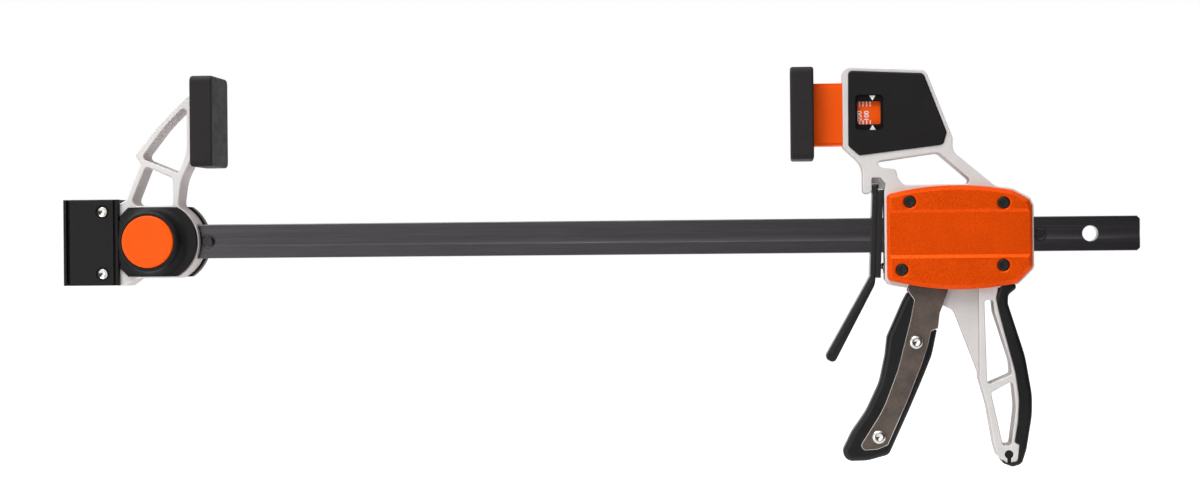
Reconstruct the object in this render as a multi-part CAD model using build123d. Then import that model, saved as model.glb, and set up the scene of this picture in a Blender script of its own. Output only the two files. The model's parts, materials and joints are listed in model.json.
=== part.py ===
"""Quick release bar clamp, modelled piece by piece in millimetres.

Frame: the origin is the centre of the spare hole near the bar's rear end. +X runs along the
bar towards that end, the jaws stand up along +Z, and the front covers face -Y.
"""
import math
import os

from build123d import *

# ---- bar -------------------------------------------------------------------------------------
BAR_HEIGHT = 19.0
BAR_THICK = 9.5
HOLE_PITCH = 520.0              # lock hole at the jaw to the spare hole at the origin
HOLE_TO_END = 26.7
LOCK_HOLE_R = 4.3
GROOVE_HALF, GROOVE_DEPTH = 3.0, 0.45       # rolled hollow groove along both faces
LONG_EDGE_R = 0.6
FRONT_STOP_X = -489.4
REAR_STOP_X = -27.4
SPOT_FACE_R, SPOT_FACE_DEPTH = 3.9, 0.6     # round each stop pin's heads
STOP_HEAD_R = 3.05
STOP_HEAD_RISE = 2.0
STOP_SHANK_R = 2.0
STOP_DIMPLE_R, STOP_DIMPLE_DEPTH = 1.5, 0.3
END_CHAMFER = 1.6

HALF_T = BAR_THICK / 2
HALF_H = BAR_HEIGHT / 2
LOCK_X = -HOLE_PITCH
BAR_START = LOCK_X - HOLE_TO_END
BAR_END = HOLE_TO_END
RUN_GAP = 0.3                   # between the bar and what slides on it

# ---- pads ------------------------------------------------------------------------------------
PAD_THICK = 12.8
PAD_HALF_WIDTH = 19.5
PAD_LOW, PAD_HIGH = 41.7, 92.4
FIXED_FACE_X = -483.2
MOVING_FACE_X = -162.7
FLANGE_THICK = 4.0
FLANGE_HALF_WIDTH = 14.0
FLANGE_LOW, FLANGE_HIGH = 47.5, 86.5
NECK_HALF_WIDTH = 6.0

# ---- fixed jaw -------------------------------------------------------------------------------
JAW_HALF = 9.0                  # half the frame's thickness
NOSE_X, NOSE_R = -516.2, 22.6
JAW_BASE = 20.3                 # half height of the frame around the bar
JAW_LEFT = -540.2
TONGUE_LEFT, TONGUE_HALF, TONGUE_HEIGHT = -560.0, 7.0, 21.5
COVER_PLATE = 2.4
COLLAR_R, COLLAR_FRONT = 16.8, -20.2
COLLAR_RIM_R, COLLAR_FLARE_R = 1.1, 5.0
BUTTON_R, BUTTON_FRONT = 14.6, -21.0
BUTTON_TRAVEL = 4.6
BUTTON_THICK = 6.2
FLOOR_Y = -6.9                  # floor of the button's pocket
REAR_COVER_Y = 16.3
REAR_COVER_R = 24.0
COUPLING_RIVETS = [(-547.8, 17.0), (-547.8, -17.8)]
COUPLING_RIVET_R = 2.95
JAW_SCREWS = [(-532.5, 14.2), (-532.5, -14.2), (-504.5, 13.6), (-504.5, -13.6)]
BLOCK_LEFT, BLOCK_RIGHT, BLOCK_HALF = -570.4, -538.6, 12.0
BLOCK_LOW, BLOCK_HIGH = -24.3, 24.0

# ---- lock ------------------------------------------------------------------------------------
LEG_IN, LEG_OUT, LEG_HALF = 10.9, 13.9, 3.9
YOKE_RING_Y = FLOOR_Y - 1.3 - BUTTON_TRAVEL    # back of the ring that carries the button
BUTTON_SPRING_R = 9.2
PIN_TIP_Y = HALF_T - 4.2

# ---- head casting ----------------------------------------------------------------------------
HEAD_HALF = 10.5                # half the casting's thickness
NOTCH_WEB_HALF = 5.5
HOUSING_LEFT, HOUSING_RIGHT = -111.8, -31.0
SLIDE_HALF = 8.3                # half the plunger cavity's thickness
COVER_RISE = 5.0
COVER_BEVEL = 2.3
BAND_LOW, BAND_HIGH = -11.0, 12.0           # floor of the sunk band across each cover
BAND_SLOPE, BAND_SINK = 1.8, 1.0
PANEL_RISE = 1.3
PANEL_CREASE, PANEL_LOW = 54.6, 43.0
PANEL_FALL = 0.45               # how far the panel's lower part leans back at PANEL_LOW
SCREWS = [(-98.2, 18.1), (-47.5, 17.1), (-102.7, -19.0), (-47.9, -16.8)]
SCREW_HEAD_R = 3.2
SCREW_HOLE_FLARE = 0.6
SCREW_SHANK_R = 1.6

# ---- trigger ---------------------------------------------------------------------------------
PIVOT_X, PIVOT_Z = -84.0, 15.0
PIVOT_R = 3.0
CHEEK_IN, CHEEK_OUT = 5.15, 7.9
GRIP_HALF, GRIP_ROUND = 7.4, 3.0
WEB_HALF = 4.6                  # half thickness of the handle's web that the cheeks straddle
RIVETS = [(-95.0, -58.8), (-115.7, -110.7)]
RIVET_HEAD_R, RIVET_SHANK_R = 4.0, 2.4

# ---- drive and brake -------------------------------------------------------------------------
DRIVE_X = -76.3
DRIVE_PLATE = 3.0
DRIVE_SPRING_Z, DRIVE_SPRING_R = -15.2, 4.4
LEVER_LEAN = 2.1                # degrees that the brake leans at rest
LEVER_X, LEVER_Z = -116.6, 27.0
LEVER_LEFT = -118.1
LEVER_PLATE, BRAKE_PLATE = 3.0, 2.9
LEVER_HALF = 9.5
ARM_TOP, ARM_LENGTH = -22.6, 51.3
ARM_ROOT_DEPTH, ARM_TIP_DEPTH = 4.6, 6.2
ARM_BEND_R = 9.0
ARM_BEAD_RISE = 0.35            # pressed bead along both sides of the arm
ARM_DROP = math.radians(62.6)   # below the horizontal
BRAKE_SPRING_Z = -18.5

# ---- pressure gauge --------------------------------------------------------------------------
PLUNGER_LOW, PLUNGER_HIGH = 49.4, 83.7
PLUNGER_HALF = 8.0
PLUNGER_TRAVEL = 12.0
PLUNGER_BACK = -106.0
JAW_BOX_LEFT = -134.1
CAVITY_BACK = -86.5
WINDOW, WINDOW_R = (-127.1, -111.9, 57.6, 77.0), 2.4
OPENING, OPENING_R = (-126.1, -113.4, 60.8, 73.4), 1.2
WINDOW_DEPTH = 1.3
SCALE = (-133.4, -112.5, 60.4, 74.5)
SCALE_THICK = 0.4
GAUGE_SPRING_R, GAUGE_SPRING_BORE = 7.6, -124.0
GAUGE_PIN_X, GAUGE_PIN_R = -110.0, 2.0
KEYHOLE = (-45.5, -120.1)
KEYHOLE_R = 2.3
HANDLE_GRIP_RISE, HANDLE_GRIP_ROUND = 0.7, 2.2


# ---- helpers ---------------------------------------------------------------------------------
def face(corners):
    """A face in the XZ plane from (x, z) or (x, z, radius) corners."""
    count = len(corners)
    starts, ends, mids, reaches = [], [], [], []
    for i, corner in enumerate(corners):
        here = Vector(corner[0], 0, corner[1])
        before = Vector(corners[i - 1][0], 0, corners[i - 1][1])
        after = Vector(corners[(i + 1) % count][0], 0, corners[(i + 1) % count][1])
        radius = corner[2] if len(corner) > 2 else 0
        to_before = (before - here).normalized()
        to_after = (after - here).normalized()
        half = math.acos(max(-1, min(1, to_before.dot(to_after)))) / 2
        reach = radius / math.tan(half)
        reaches.append(reach)
        if radius == 0:
            starts.append(here)
            ends.append(here)
            mids.append(None)
            continue
        bisector = (to_before + to_after).normalized()
        centre = here + bisector * (radius / math.sin(half))
        starts.append(here + to_before * reach)
        ends.append(here + to_after * reach)
        mids.append(centre - bisector * radius)
    edges = []
    for i in range(count):
        j = (i + 1) % count
        side = math.dist(corners[i][:2], corners[j][:2])
        if reaches[i] + reaches[j] > side + 1e-6:
            raise ValueError(f"radii overlap between corners {corners[i]} and {corners[j]}")
        if mids[i] is not None:
            edges.append(ThreePointArc(starts[i], mids[i], ends[i]))
        follow = starts[j]
        if (follow - ends[i]).length > 1e-4:
            edges.append(Line(ends[i], follow))
    return make_face(edges)


def slab(profile, y_low, y_high):
    """A face in the XZ plane, thickened from y_low to y_high."""
    return extrude(Pos(0, y_low, 0) * profile, amount=y_high - y_low, dir=(0, 1, 0))


def disc(x, z, radius):
    return Plane(origin=(x, 0, z), x_dir=(1, 0, 0), z_dir=(0, -1, 0)) * Circle(radius)


def rod(x, z, radius, y_low, y_high):
    """A round bar along Y."""
    return slab(disc(x, z, radius), y_low, y_high)


def block(x_low, x_high, y_low, y_high, z_low, z_high):
    size = (x_high - x_low, y_high - y_low, z_high - z_low)
    centre = ((x_low + x_high) / 2, (y_low + y_high) / 2, (z_low + z_high) / 2)
    return Pos(*centre) * Box(*size)


def rod_x(y, z, radius, x_low, x_high):
    """A round bar along X."""
    plane = Plane(origin=(x_low, y, z), x_dir=(0, 1, 0), z_dir=(1, 0, 0))
    return extrude(plane * Circle(radius), amount=x_high - x_low, dir=(1, 0, 0))


def prism_x(corners, x_low, x_high):
    """A prism along X from (y, z) corners."""
    plane = Plane(origin=(x_low, 0, 0), x_dir=(0, 1, 0), z_dir=(1, 0, 0))
    return extrude(plane * Polygon(*corners, align=None), amount=x_high - x_low, dir=(1, 0, 0))


def rims(solid, y):
    """The edges that lie in the plane at y."""
    flat = []
    for edge in solid.edges():
        box = edge.bounding_box()
        if abs(box.min.Y - y) < 1e-3 and abs(box.max.Y - y) < 1e-3:
            flat.append(edge)
    return flat


def coil(plane, radius, wire_r, length, turns):
    """A compression spring along the plane's normal."""
    path = Helix(pitch=length / turns, height=length, radius=radius)
    start = path @ 0
    section = Plane(origin=start, z_dir=path % 0) * Circle(wire_r)
    return plane * sweep(section, path=path, is_frenet=True)


def mirrored(solid):
    """The same piece on the other side of the bar's middle plane."""
    return mirror(solid, about=Plane.XZ)


# ---- bar -------------------------------------------------------------------------------------
def make_bar():
    bar = block(BAR_START, BAR_END, -HALF_T, HALF_T, -HALF_H, HALF_H)
    bar = fillet(bar.edges().filter_by(Axis.X), LONG_EDGE_R)
    outline = block(BAR_START, BAR_END, -HALF_T - 1, HALF_T + 1, -HALF_H, HALF_H)
    bar &= chamfer(outline.edges().filter_by(Axis.Y), END_CHAMFER)
    groove_r = (GROOVE_HALF ** 2 + GROOVE_DEPTH ** 2) / (2 * GROOVE_DEPTH)
    groove_y = HALF_T - GROOVE_DEPTH + groove_r
    for side in (-1, 1):
        bar -= rod_x(side * groove_y, 0, groove_r, BAR_START - 1, BAR_END + 1)
        low, high = sorted((side * (HALF_T - SPOT_FACE_DEPTH), side * (HALF_T + 1)))
        for x in (FRONT_STOP_X, REAR_STOP_X):
            bar -= rod(x, 0, SPOT_FACE_R, low, high)
    for x in (LOCK_X, 0.0):
        bar -= rod(x, 0, LOCK_HOLE_R, -HALF_T - 1, HALF_T + 1)
    for x in (FRONT_STOP_X, REAR_STOP_X):
        bar -= rod(x, 0, STOP_SHANK_R, -HALF_T - 1, HALF_T + 1)
    return bar


def make_stop_pin(x):
    """A headed pin through the bar, its heads seated in the spot faces."""
    seat = HALF_T - SPOT_FACE_DEPTH
    pin = rod(x, 0, STOP_SHANK_R, -seat, seat)
    top = HALF_T + STOP_HEAD_RISE
    for side in (-1, 1):
        low, high = sorted((side * seat, side * top))
        head = rod(x, 0, STOP_HEAD_R, low, high)
        pin += chamfer(rims(head, side * top), 0.5)
        low, high = sorted((side * (top - STOP_DIMPLE_DEPTH), side * (top + 1)))
        pin -= rod(x, 0, STOP_DIMPLE_R, low, high)
    return pin


# ---- fixed jaw -------------------------------------------------------------------------------
def pad_flange(back_x, direction):
    """Flange and neck that a pad slides over; direction points to the pad's clamping face."""
    neck_end = back_x + direction * 4.0
    flange_end = neck_end + direction * FLANGE_THICK
    neck_start = back_x - direction * 0.3
    neck = block(min(neck_start, neck_end), max(neck_start, neck_end),
                 -NECK_HALF_WIDTH, NECK_HALF_WIDTH, FLANGE_LOW, FLANGE_HIGH)
    flange = block(min(neck_end, flange_end), max(neck_end, flange_end),
                   -FLANGE_HALF_WIDTH, FLANGE_HALF_WIDTH, FLANGE_LOW, FLANGE_HIGH)
    return neck, flange


def make_pad(face_x, direction):
    """Moulded pad; direction points from its back to its clamping face."""
    back_x = face_x - direction * PAD_THICK
    body = block(min(face_x, back_x), max(face_x, back_x),
                 -PAD_HALF_WIDTH, PAD_HALF_WIDTH, PAD_LOW, PAD_HIGH)
    body = fillet(body.edges().filter_by(Axis.X), 2.4)
    ends = body.faces().sort_by(Axis.X)
    clamp_face, back_face = (ends[-1], ends[0]) if direction > 0 else (ends[0], ends[-1])
    body = chamfer(clamp_face.edges(), 0.8)
    body = chamfer(back_face.edges(), 1.1)
    neck, flange = pad_flange(back_x, direction)
    return body - neck - flange


def jaw_profile():
    """Side view of the fixed jaw's frame, before its windows are cut."""
    nose = disc(NOSE_X, 0, NOSE_R) & face([(NOSE_X, -JAW_BASE), (NOSE_X + 40, -JAW_BASE),
                                          (NOSE_X + 40, JAW_BASE), (NOSE_X, JAW_BASE)])
    base = face([(JAW_LEFT, -JAW_BASE), (NOSE_X + 1, -JAW_BASE),
                 (NOSE_X + 1, JAW_BASE), (JAW_LEFT, JAW_BASE)])
    arm = face([
        (-496.2, 85.4), (-497.6, 83.8, 2.0), (-515.4, 66.6, 150.0), (-529.9, 48.8, 2.4),
        (-526.4, 43.9, 2.6), (-528.3, 40.0, 5.0), (-534.7, 23.8, 3.5), (JAW_LEFT, 20.9),
        (JAW_LEFT, 8.0), (-502.0, 8.0), (-498.5, 14.0), (-505.6, 19.2, 7.0),
        (-503.5, 34.5, 24.0), (-496.2, 49.0),
    ])
    foot = face([(JAW_LEFT, -12.0), (JAW_LEFT, -24.6), (-535.4, -24.6, 3.5), (-529.4, -JAW_BASE, 4.5),
                 (-520.0, -JAW_BASE), (-520.0, -12.0)])
    return nose + base + arm + foot


def make_fixed_jaw_frame():
    frame = slab(jaw_profile(), -JAW_HALF, JAW_HALF)
    upper = face([(-500.1, 76.6, 1.6), (-500.1, 50.0, 30.0), (-504.9, 38.4, 1.3),
                  (-526.2, 47.0, 2.4), (-512.5, 64.6, 90.0)])
    lower = face([(-523.6, 42.5, 2.2), (-532.6, 20.4, 3.0), (-508.2, 20.4, 1.8), (-508.1, 35.6, 2.6)])
    for window in (upper, lower):
        frame -= slab(window, -JAW_HALF - 1, JAW_HALF + 1)
    edges = rims(frame, -JAW_HALF) + rims(frame, JAW_HALF)
    frame = chamfer([e for e in edges if e.bounding_box().max.X < -496.3], 0.5)
    neck, flange = pad_flange(FIXED_FACE_X - PAD_THICK, 1)
    frame += neck + flange
    frame += block(TONGUE_LEFT, JAW_LEFT + 1, -TONGUE_HALF, TONGUE_HALF, -TONGUE_HEIGHT, TONGUE_HEIGHT)
    frame -= block(BAR_START - 20, NOSE_X + 40, -HALF_T - 0.15, HALF_T + 0.15, -HALF_H - 0.15, HALF_H + 0.15)
    frame -= rod(LOCK_X, 0, BUTTON_R + 0.4, -JAW_HALF - 1, FLOOR_Y)
    frame -= block(LOCK_X - 4.3, LOCK_X + 4.3, FLOOR_Y - 1, JAW_HALF + 1, 10.6, 14.4)
    frame -= block(LOCK_X - 4.3, LOCK_X + 4.3, FLOOR_Y - 1, JAW_HALF + 1, -14.4, -10.6)
    frame -= block(LOCK_X - 4.9, LOCK_X + 4.9, 4.85, JAW_HALF + 1, -14.6, 14.6)
    for x, z in COUPLING_RIVETS:
        frame -= rod(x, z, 3.0, -20, 20)
    for x, z in JAW_SCREWS:
        frame -= rod(x, z, 1.5, -20, 20)
    return frame


def make_coupling_block():
    """Black block on the frame's tongue, with an upright rail that couples a second clamp."""
    body = block(BLOCK_LEFT, BLOCK_RIGHT, -BLOCK_HALF, BLOCK_HALF, BLOCK_LOW, BLOCK_HIGH)
    body = chamfer(rims(body, -BLOCK_HALF) + rims(body, BLOCK_HALF), 0.5)
    for side in (-1, 1):
        rail_in, rail_out = side * (BLOCK_HALF - 3.2), side * (BLOCK_HALF + 1)
        body -= block(-568.6, -566.6, min(rail_in, rail_out), max(rail_in, rail_out), -40, 40)
        step_in = side * (BLOCK_HALF - 1.6)
        body -= block(-541.7, -540.2, min(step_in, rail_out), max(step_in, rail_out), -40, 40)
        for x, z in COUPLING_RIVETS:
            body -= rod(x, z, 3.9, min(side * 11.2, rail_out), max(side * 11.2, rail_out))
    body -= block(TONGUE_LEFT, JAW_LEFT, -TONGUE_HALF, TONGUE_HALF, -TONGUE_HEIGHT, TONGUE_HEIGHT)
    body -= block(JAW_LEFT - 0.01, BLOCK_RIGHT + 1, -JAW_HALF, JAW_HALF, -40, 40)
    for x, z in COUPLING_RIVETS:
        body -= rod(x, z, 3.0, -20, 20)
    return body


def make_coupling_rivets():
    """Rivets through block and tongue, with dished ends."""
    rivets = []
    reach, dish_r, dish_depth = BLOCK_HALF + 0.4, 3.6, 1.1
    for x, z in COUPLING_RIVETS:
        rivet = rod(x, z, COUPLING_RIVET_R, -reach, reach)
        rivet = chamfer(rims(rivet, -reach) + rims(rivet, reach), 0.3)
        for side in (-1, 1):
            rivet -= Pos(x, side * (reach - dish_depth + dish_r), z) * Sphere(dish_r)
        rivets.append(rivet)
    return rivets


def collar_solid(front):
    """The round collar: rounded rim, straight wall, and a hollow flare down to the plate at front."""
    def at(radius, y):
        return Vector(LOCK_X + radius, y, 0)

    bend = math.sqrt(0.5)
    rim, flare = COLLAR_RIM_R, COLLAR_FLARE_R
    rim_y = COLLAR_FRONT + rim
    flare_y = front - flare + 0.05          # the flare's centre, so that it dips into the plate
    edges = [
        Line(at(0, COLLAR_FRONT), at(COLLAR_R - rim, COLLAR_FRONT)),
        ThreePointArc(at(COLLAR_R - rim, COLLAR_FRONT), at(COLLAR_R - rim + rim * bend, rim_y - rim * bend),
                      at(COLLAR_R, rim_y)),
        Line(at(COLLAR_R, rim_y), at(COLLAR_R, flare_y)),
        ThreePointArc(at(COLLAR_R, flare_y), at(COLLAR_R + flare - flare * bend, flare_y + flare * bend),
                      at(COLLAR_R + flare, flare_y + flare)),
        Line(at(COLLAR_R + flare, flare_y + flare), at(COLLAR_R + flare, front + 0.5)),
        Line(at(COLLAR_R + flare, front + 0.5), at(0, front + 0.5)),
        Line(at(0, front + 0.5), at(0, COLLAR_FRONT)),
    ]
    return revolve(make_face(edges), axis=Axis((LOCK_X, 0, 0), (0, 1, 0)), revolution_arc=360)


def make_jaw_front_cover():
    """Black cover plate with the raised collar that surrounds the button."""
    plate_r = NOSE_R - 0.6
    half = JAW_BASE - 0.9
    front = -JAW_HALF - COVER_PLATE
    nose = disc(NOSE_X, 0, plate_r) & face([(NOSE_X, -half), (NOSE_X + 40, -half),
                                           (NOSE_X + 40, half), (NOSE_X, half)])
    left = BLOCK_RIGHT + 0.1
    rest = face([(left, -half + 5), (left + 5, -half), (NOSE_X + 1, -half), (NOSE_X + 1, half),
                 (left + 5, half), (left, half - 5)])
    plate = slab(nose + rest, front, -JAW_HALF)
    plate = chamfer(rims(plate, front), 0.6)
    cover = plate + (collar_solid(front) & slab(nose + rest, COLLAR_FRONT - 1, -JAW_HALF))
    cover -= rod(LOCK_X, 0, BUTTON_R + 0.3, -40, -JAW_HALF + 1)
    for x, z in JAW_SCREWS:
        cover -= rod(x, z, 1.5, -JAW_HALF - 1.2, -JAW_HALF + 1)
    return cover


def rear_cover_profile():
    half = 19.8
    nose = disc(NOSE_X, 0, REAR_COVER_R) & face([(NOSE_X, -half), (NOSE_X + 40, -half),
                                                (NOSE_X + 40, half), (NOSE_X, half)])
    left = BLOCK_RIGHT + 0.1
    rest = face([(left, -half, 2.0), (NOSE_X + 1, -half), (NOSE_X + 1, half), (left, half, 2.0)])
    return nose + rest


def make_jaw_rear_cover():
    """Black cover behind the frame, hollow where the lock's bridge moves back."""
    cover = slab(rear_cover_profile(), JAW_HALF, REAR_COVER_Y)
    cover = chamfer(rims(cover, REAR_COVER_Y), 1.6)
    cover -= block(LOCK_X - 6.0, LOCK_X + 6.0, JAW_HALF - 1, REAR_COVER_Y - 2.0, -15.6, 15.6)
    for x, z in JAW_SCREWS:
        cover -= rod(x, z, 1.5, 0, 30)
        cover -= rod(x, z, 2.9, REAR_COVER_Y - 2.4, 30)
    return cover


def cross_screw(x, z, seat, tip, head_r, head_deep, shank_r, side):
    """A cross-head screw along Y; side is -1 when its head faces -Y."""
    head = rod(x, z, head_r, min(seat, seat + side * head_deep), max(seat, seat + side * head_deep))
    head = chamfer(rims(head, seat + side * head_deep), 0.35)
    screw = head + rod(x, z, shank_r, min(seat, tip), max(seat, tip))
    drive_out = seat + side * (head_deep + 1)
    drive_in = seat + side * (head_deep - 1.2)
    low, high = min(drive_in, drive_out), max(drive_in, drive_out)
    arm = head_r * 0.62
    blade = head_r * 0.17
    screw -= block(x - arm, x + arm, low, high, z - blade, z + blade)
    screw -= block(x - blade, x + blade, low, high, z - arm, z + arm)
    return screw


def make_jaw_screws():
    return [cross_screw(x, z, REAR_COVER_Y - 2.4, -JAW_HALF - 1.1, 2.8, 1.9, 1.45, 1)
            for x, z in JAW_SCREWS]


# ---- push button -----------------------------------------------------------------------------
def make_push_button():
    back = BUTTON_FRONT + BUTTON_THICK
    cap = rod(LOCK_X, 0, BUTTON_R, BUTTON_FRONT, back)
    cap = fillet(rims(cap, BUTTON_FRONT), 0.8)
    return cap - rod(LOCK_X, 0, BUTTON_R - 2.0, BUTTON_FRONT + 2.4, back + 1)


def make_lock_yoke():
    """Steel yoke: its legs pass above and below the bar and carry the bridge behind it."""
    ring = rod(LOCK_X, 0, BUTTON_R - 2.1, BUTTON_FRONT + 2.4, YOKE_RING_Y)
    ring -= rod(LOCK_X, 0, BUTTON_SPRING_R + 1.0, BUTTON_FRONT + 4.0, YOKE_RING_Y + 1)
    legs = [block(LOCK_X - LEG_HALF, LOCK_X + LEG_HALF, YOKE_RING_Y - 1.5, 8.2, z, z + LEG_OUT - LEG_IN)
            for z in (LEG_IN, -LEG_OUT)]
    bridge = block(LOCK_X - LEG_HALF, LOCK_X + LEG_HALF, 5.2, 8.2, -LEG_OUT, LEG_OUT)
    yoke = ring + legs[0] + legs[1] + bridge
    return yoke - rod(LOCK_X, 0, 2.5, 5, 9)


def make_lock_pin():
    pin = rod(LOCK_X, 0, LOCK_HOLE_R - 0.05, PIN_TIP_Y, 5.2)
    pin = chamfer(rims(pin, PIN_TIP_Y), 0.6)
    return pin + rod(LOCK_X, 0, 2.5, 5.1, 8.2)


def make_button_spring():
    wire = 0.5
    start, end = FLOOR_Y - wire, BUTTON_FRONT + 4.0 + wire
    base = Plane(origin=(LOCK_X, start, 0), x_dir=(1, 0, 0), z_dir=(0, -1, 0))
    return coil(base, BUTTON_SPRING_R, wire, start - end, 4)


# ---- head casting ----------------------------------------------------------------------------
def head_profile():
    """Side view of the casting: jaw box, arm, hook and housing."""
    return face([
        (JAW_BOX_LEFT, 92.4, 3.5), (-88.9, 90.4, 5.0), (-74.4, 53.0, 5.0), (-74.6, 45.6, 6.0),
        (-51.5, 26.2, 8.0), (-42.5, 25.1, 3.0), (-33.1, 20.0, 3.0), (HOUSING_RIGHT, 15.8, 2.0),
        (HOUSING_RIGHT, -18.6, 4.0), (-39.8, -27.7, 7.0), (-76.0, -33.0, 120.0),
        (-109.5, -27.4, 2.0), (HOUSING_LEFT, -24.4, 1.5), (HOUSING_LEFT, 24.0, 0.6),
        (-111.0, 28.2, 1.0), (-113.9, 31.5, 1.5), (-118.5, 31.5, 0.8), (-118.5, 22.9, 2.1),
        (-123.4, 22.9, 2.1), (-123.4, 38.4, 11.0), (JAW_BOX_LEFT, 48.6, 1.5),
    ])


def big_window():
    """The opening between the jaw box and the housing."""
    return face([
        (-118.4, 40.0, 1.6), (-82.2, 45.0, 4.0), (-64.2, 29.2, 2.0), (-66.8, 27.6, 1.0),
        (-101.4, 27.4, 3.5), (-104.4, 31.4, 4.0), (-105.4, 36.2, 2.4), (-112.5, 36.8, 4.0),
    ])


def panel_profile(shrink=0.0):
    s = shrink
    return face([
        (-130.9 + s, 90.3 - s, 2.2), (-90.0 - s, 88.3 - s, 2.6), (-77.6 - s, 56.0, 3.0),
        (-79.6 - s, 49.2 + s, 2.6), (-125.2 + s, 43.8 + s, 1.4), (-131.1 + s, 49.0 + s, 1.4),
    ])


def handle_profile():
    """Full-thickness part of the rear handle."""
    return face([
        (-61.0, -20.0), (-61.0, -79.0, 6.0), (-57.0, -93.0, 60.0), (-53.2, -115.5, 10.0),
        (-51.4, -121.4, 3.0), (-46.4, -125.2, 1.5), (-40.6, -124.0, 2.0), (-39.6, -114.6, 0.8),
        (-42.2, -113.4, 0.6), (-40.4, -103.0, 20.0), (-39.6, -90.0, 30.0), (-41.5, -75.6, 40.0),
        (-49.8, -43.6, 12.0), (-51.6, -35.0, 4.0), (-48.6, -20.0),
    ])


def web_profile():
    """Thin web in front of the handle, which the trigger's cheeks straddle."""
    return face([(-81.0, -24.5), (-81.0, -38.4, 2.0), (-74.2, -41.6, 5.0), (-70.5, -51.5, 20.0),
                 (-60.9, -77.2, 3.0), (-60.0, -80.0), (-60.0, -24.5)])


def cavity_profile():
    """The room for the trigger, the drive plates and their spring, open at the bottom."""
    return face([(-103.6, 21.6, 2.0), (-40.5, 21.6, 2.0), (-38.0, 17.0, 1.0), (-38.0, -21.4, 1.0),
                 (-61.0, -21.4, 1.0), (-61.0, -40.0), (-99.4, -40.0), (-99.4, -24.0), (-103.6, -24.0)])


def notch_web_profile():
    """Web that closes the hook's notch above the lever and the brake plate."""
    return face([(-118.6, 28.7), (-114.6, 28.7), (-114.6, 25.8), (-110.9, 25.8), (-110.9, 32.0),
                 (-118.6, 32.0)])


def make_head_casting():
    head = slab(head_profile(), -HEAD_HALF, HEAD_HALF)
    head -= slab(big_window(), -HEAD_HALF - 1, HEAD_HALF + 1)
    handle = slab(handle_profile(), -HEAD_HALF, HEAD_HALF)
    upper = face([(-58.0, -36.0, 1.4), (-56.8, -82.2, 1.4), (-43.6, -76.4, 1.6), (-44.2, -69.6, 6.0),
                  (-49.2, -53.4, 40.0), (-52.6, -42.6, 6.0), (-53.2, -36.0, 1.4)])
    lower = face([(-54.8, -86.5, 1.0), (-42.9, -79.8, 1.8), (-41.5, -95.0, 30.0),
                  (-44.2, -115.2, 1.6), (-48.6, -115.2, 1.0)])
    for slot in (upper, lower):
        handle -= slab(slot, -HEAD_HALF - 1, HEAD_HALF + 1)
    head += handle
    edges = rims(head, -HEAD_HALF) + rims(head, HEAD_HALF)
    head = chamfer(edges, 0.45)
    head -= slab(cavity_profile(), -HEAD_HALF - 1, HEAD_HALF + 1)
    head += slab(web_profile(), -WEB_HALF, WEB_HALF)
    head += slab(notch_web_profile(), -NOTCH_WEB_HALF, NOTCH_WEB_HALF)
    for side in (-1, 1):
        deep = side * HEAD_HALF
        for x, z in SCREWS:
            low, high = sorted((side * 5.0, deep))
            head += rod(x, z, 3.4, low, high)
        low, high = sorted((side * 5.0, deep))
        head += block(-48.5, -37.5, low, high, -21.5, -13.6)
        head += block(-48.0, -37.5, low, high, 14.0, 21.8)
        head += block(-104.0, -96.0, low, high, 15.4, 21.8)
        for x, z in SCREWS:
            low, high = sorted((side * 5.6, side * (HEAD_HALF + 1)))
            head -= rod(x, z, SCREW_SHANK_R + 0.05, low, high)
        low, high = sorted((side * SLIDE_HALF, side * (HEAD_HALF + 1)))
        head -= slab(panel_profile(), low, high)
    head -= block(JAW_BOX_LEFT - 1, CAVITY_BACK, -SLIDE_HALF, SLIDE_HALF,
                  PLUNGER_LOW - 0.3, PLUNGER_HIGH + 0.3)
    wide, high = HALF_T + RUN_GAP, HALF_H + RUN_GAP
    head -= block(HOUSING_LEFT - 1, -100, -wide, wide, -high, high)
    head -= block(-40, HOUSING_RIGHT + 1, -wide, wide, -high, high)
    head -= rod_x(0, BRAKE_SPRING_Z, 3.6, HOUSING_LEFT - 1, HOUSING_LEFT + 5.5)
    head -= rod(*KEYHOLE, KEYHOLE_R, -20, 20)
    head -= block(KEYHOLE[0] - 0.9, KEYHOLE[0] + 1.1, -20, 20, -130, KEYHOLE[1])
    head -= Pos(GAUGE_PIN_X, 0, 46.0) * Cylinder(GAUGE_PIN_R, 8.0)
    return head


def handle_grip_profile():
    return face([
        (-48.4, -24.0), (-41.6, -24.0, 1.0), (-40.6, -29.6, 2.0), (-45.0, -33.2, 3.0),
        (-45.2, -38.0, 4.0), (-36.2, -66.5, 60.0), (-32.6, -88.0, 40.0), (-32.8, -99.0, 40.0),
        (-35.8, -117.0, 20.0), (-38.4, -125.4, 4.0), (-43.6, -127.0, 2.5), (-48.8, -125.0, 1.5),
        (-54.0, -110.0), (-54.0, -40.0),
    ])


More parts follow.
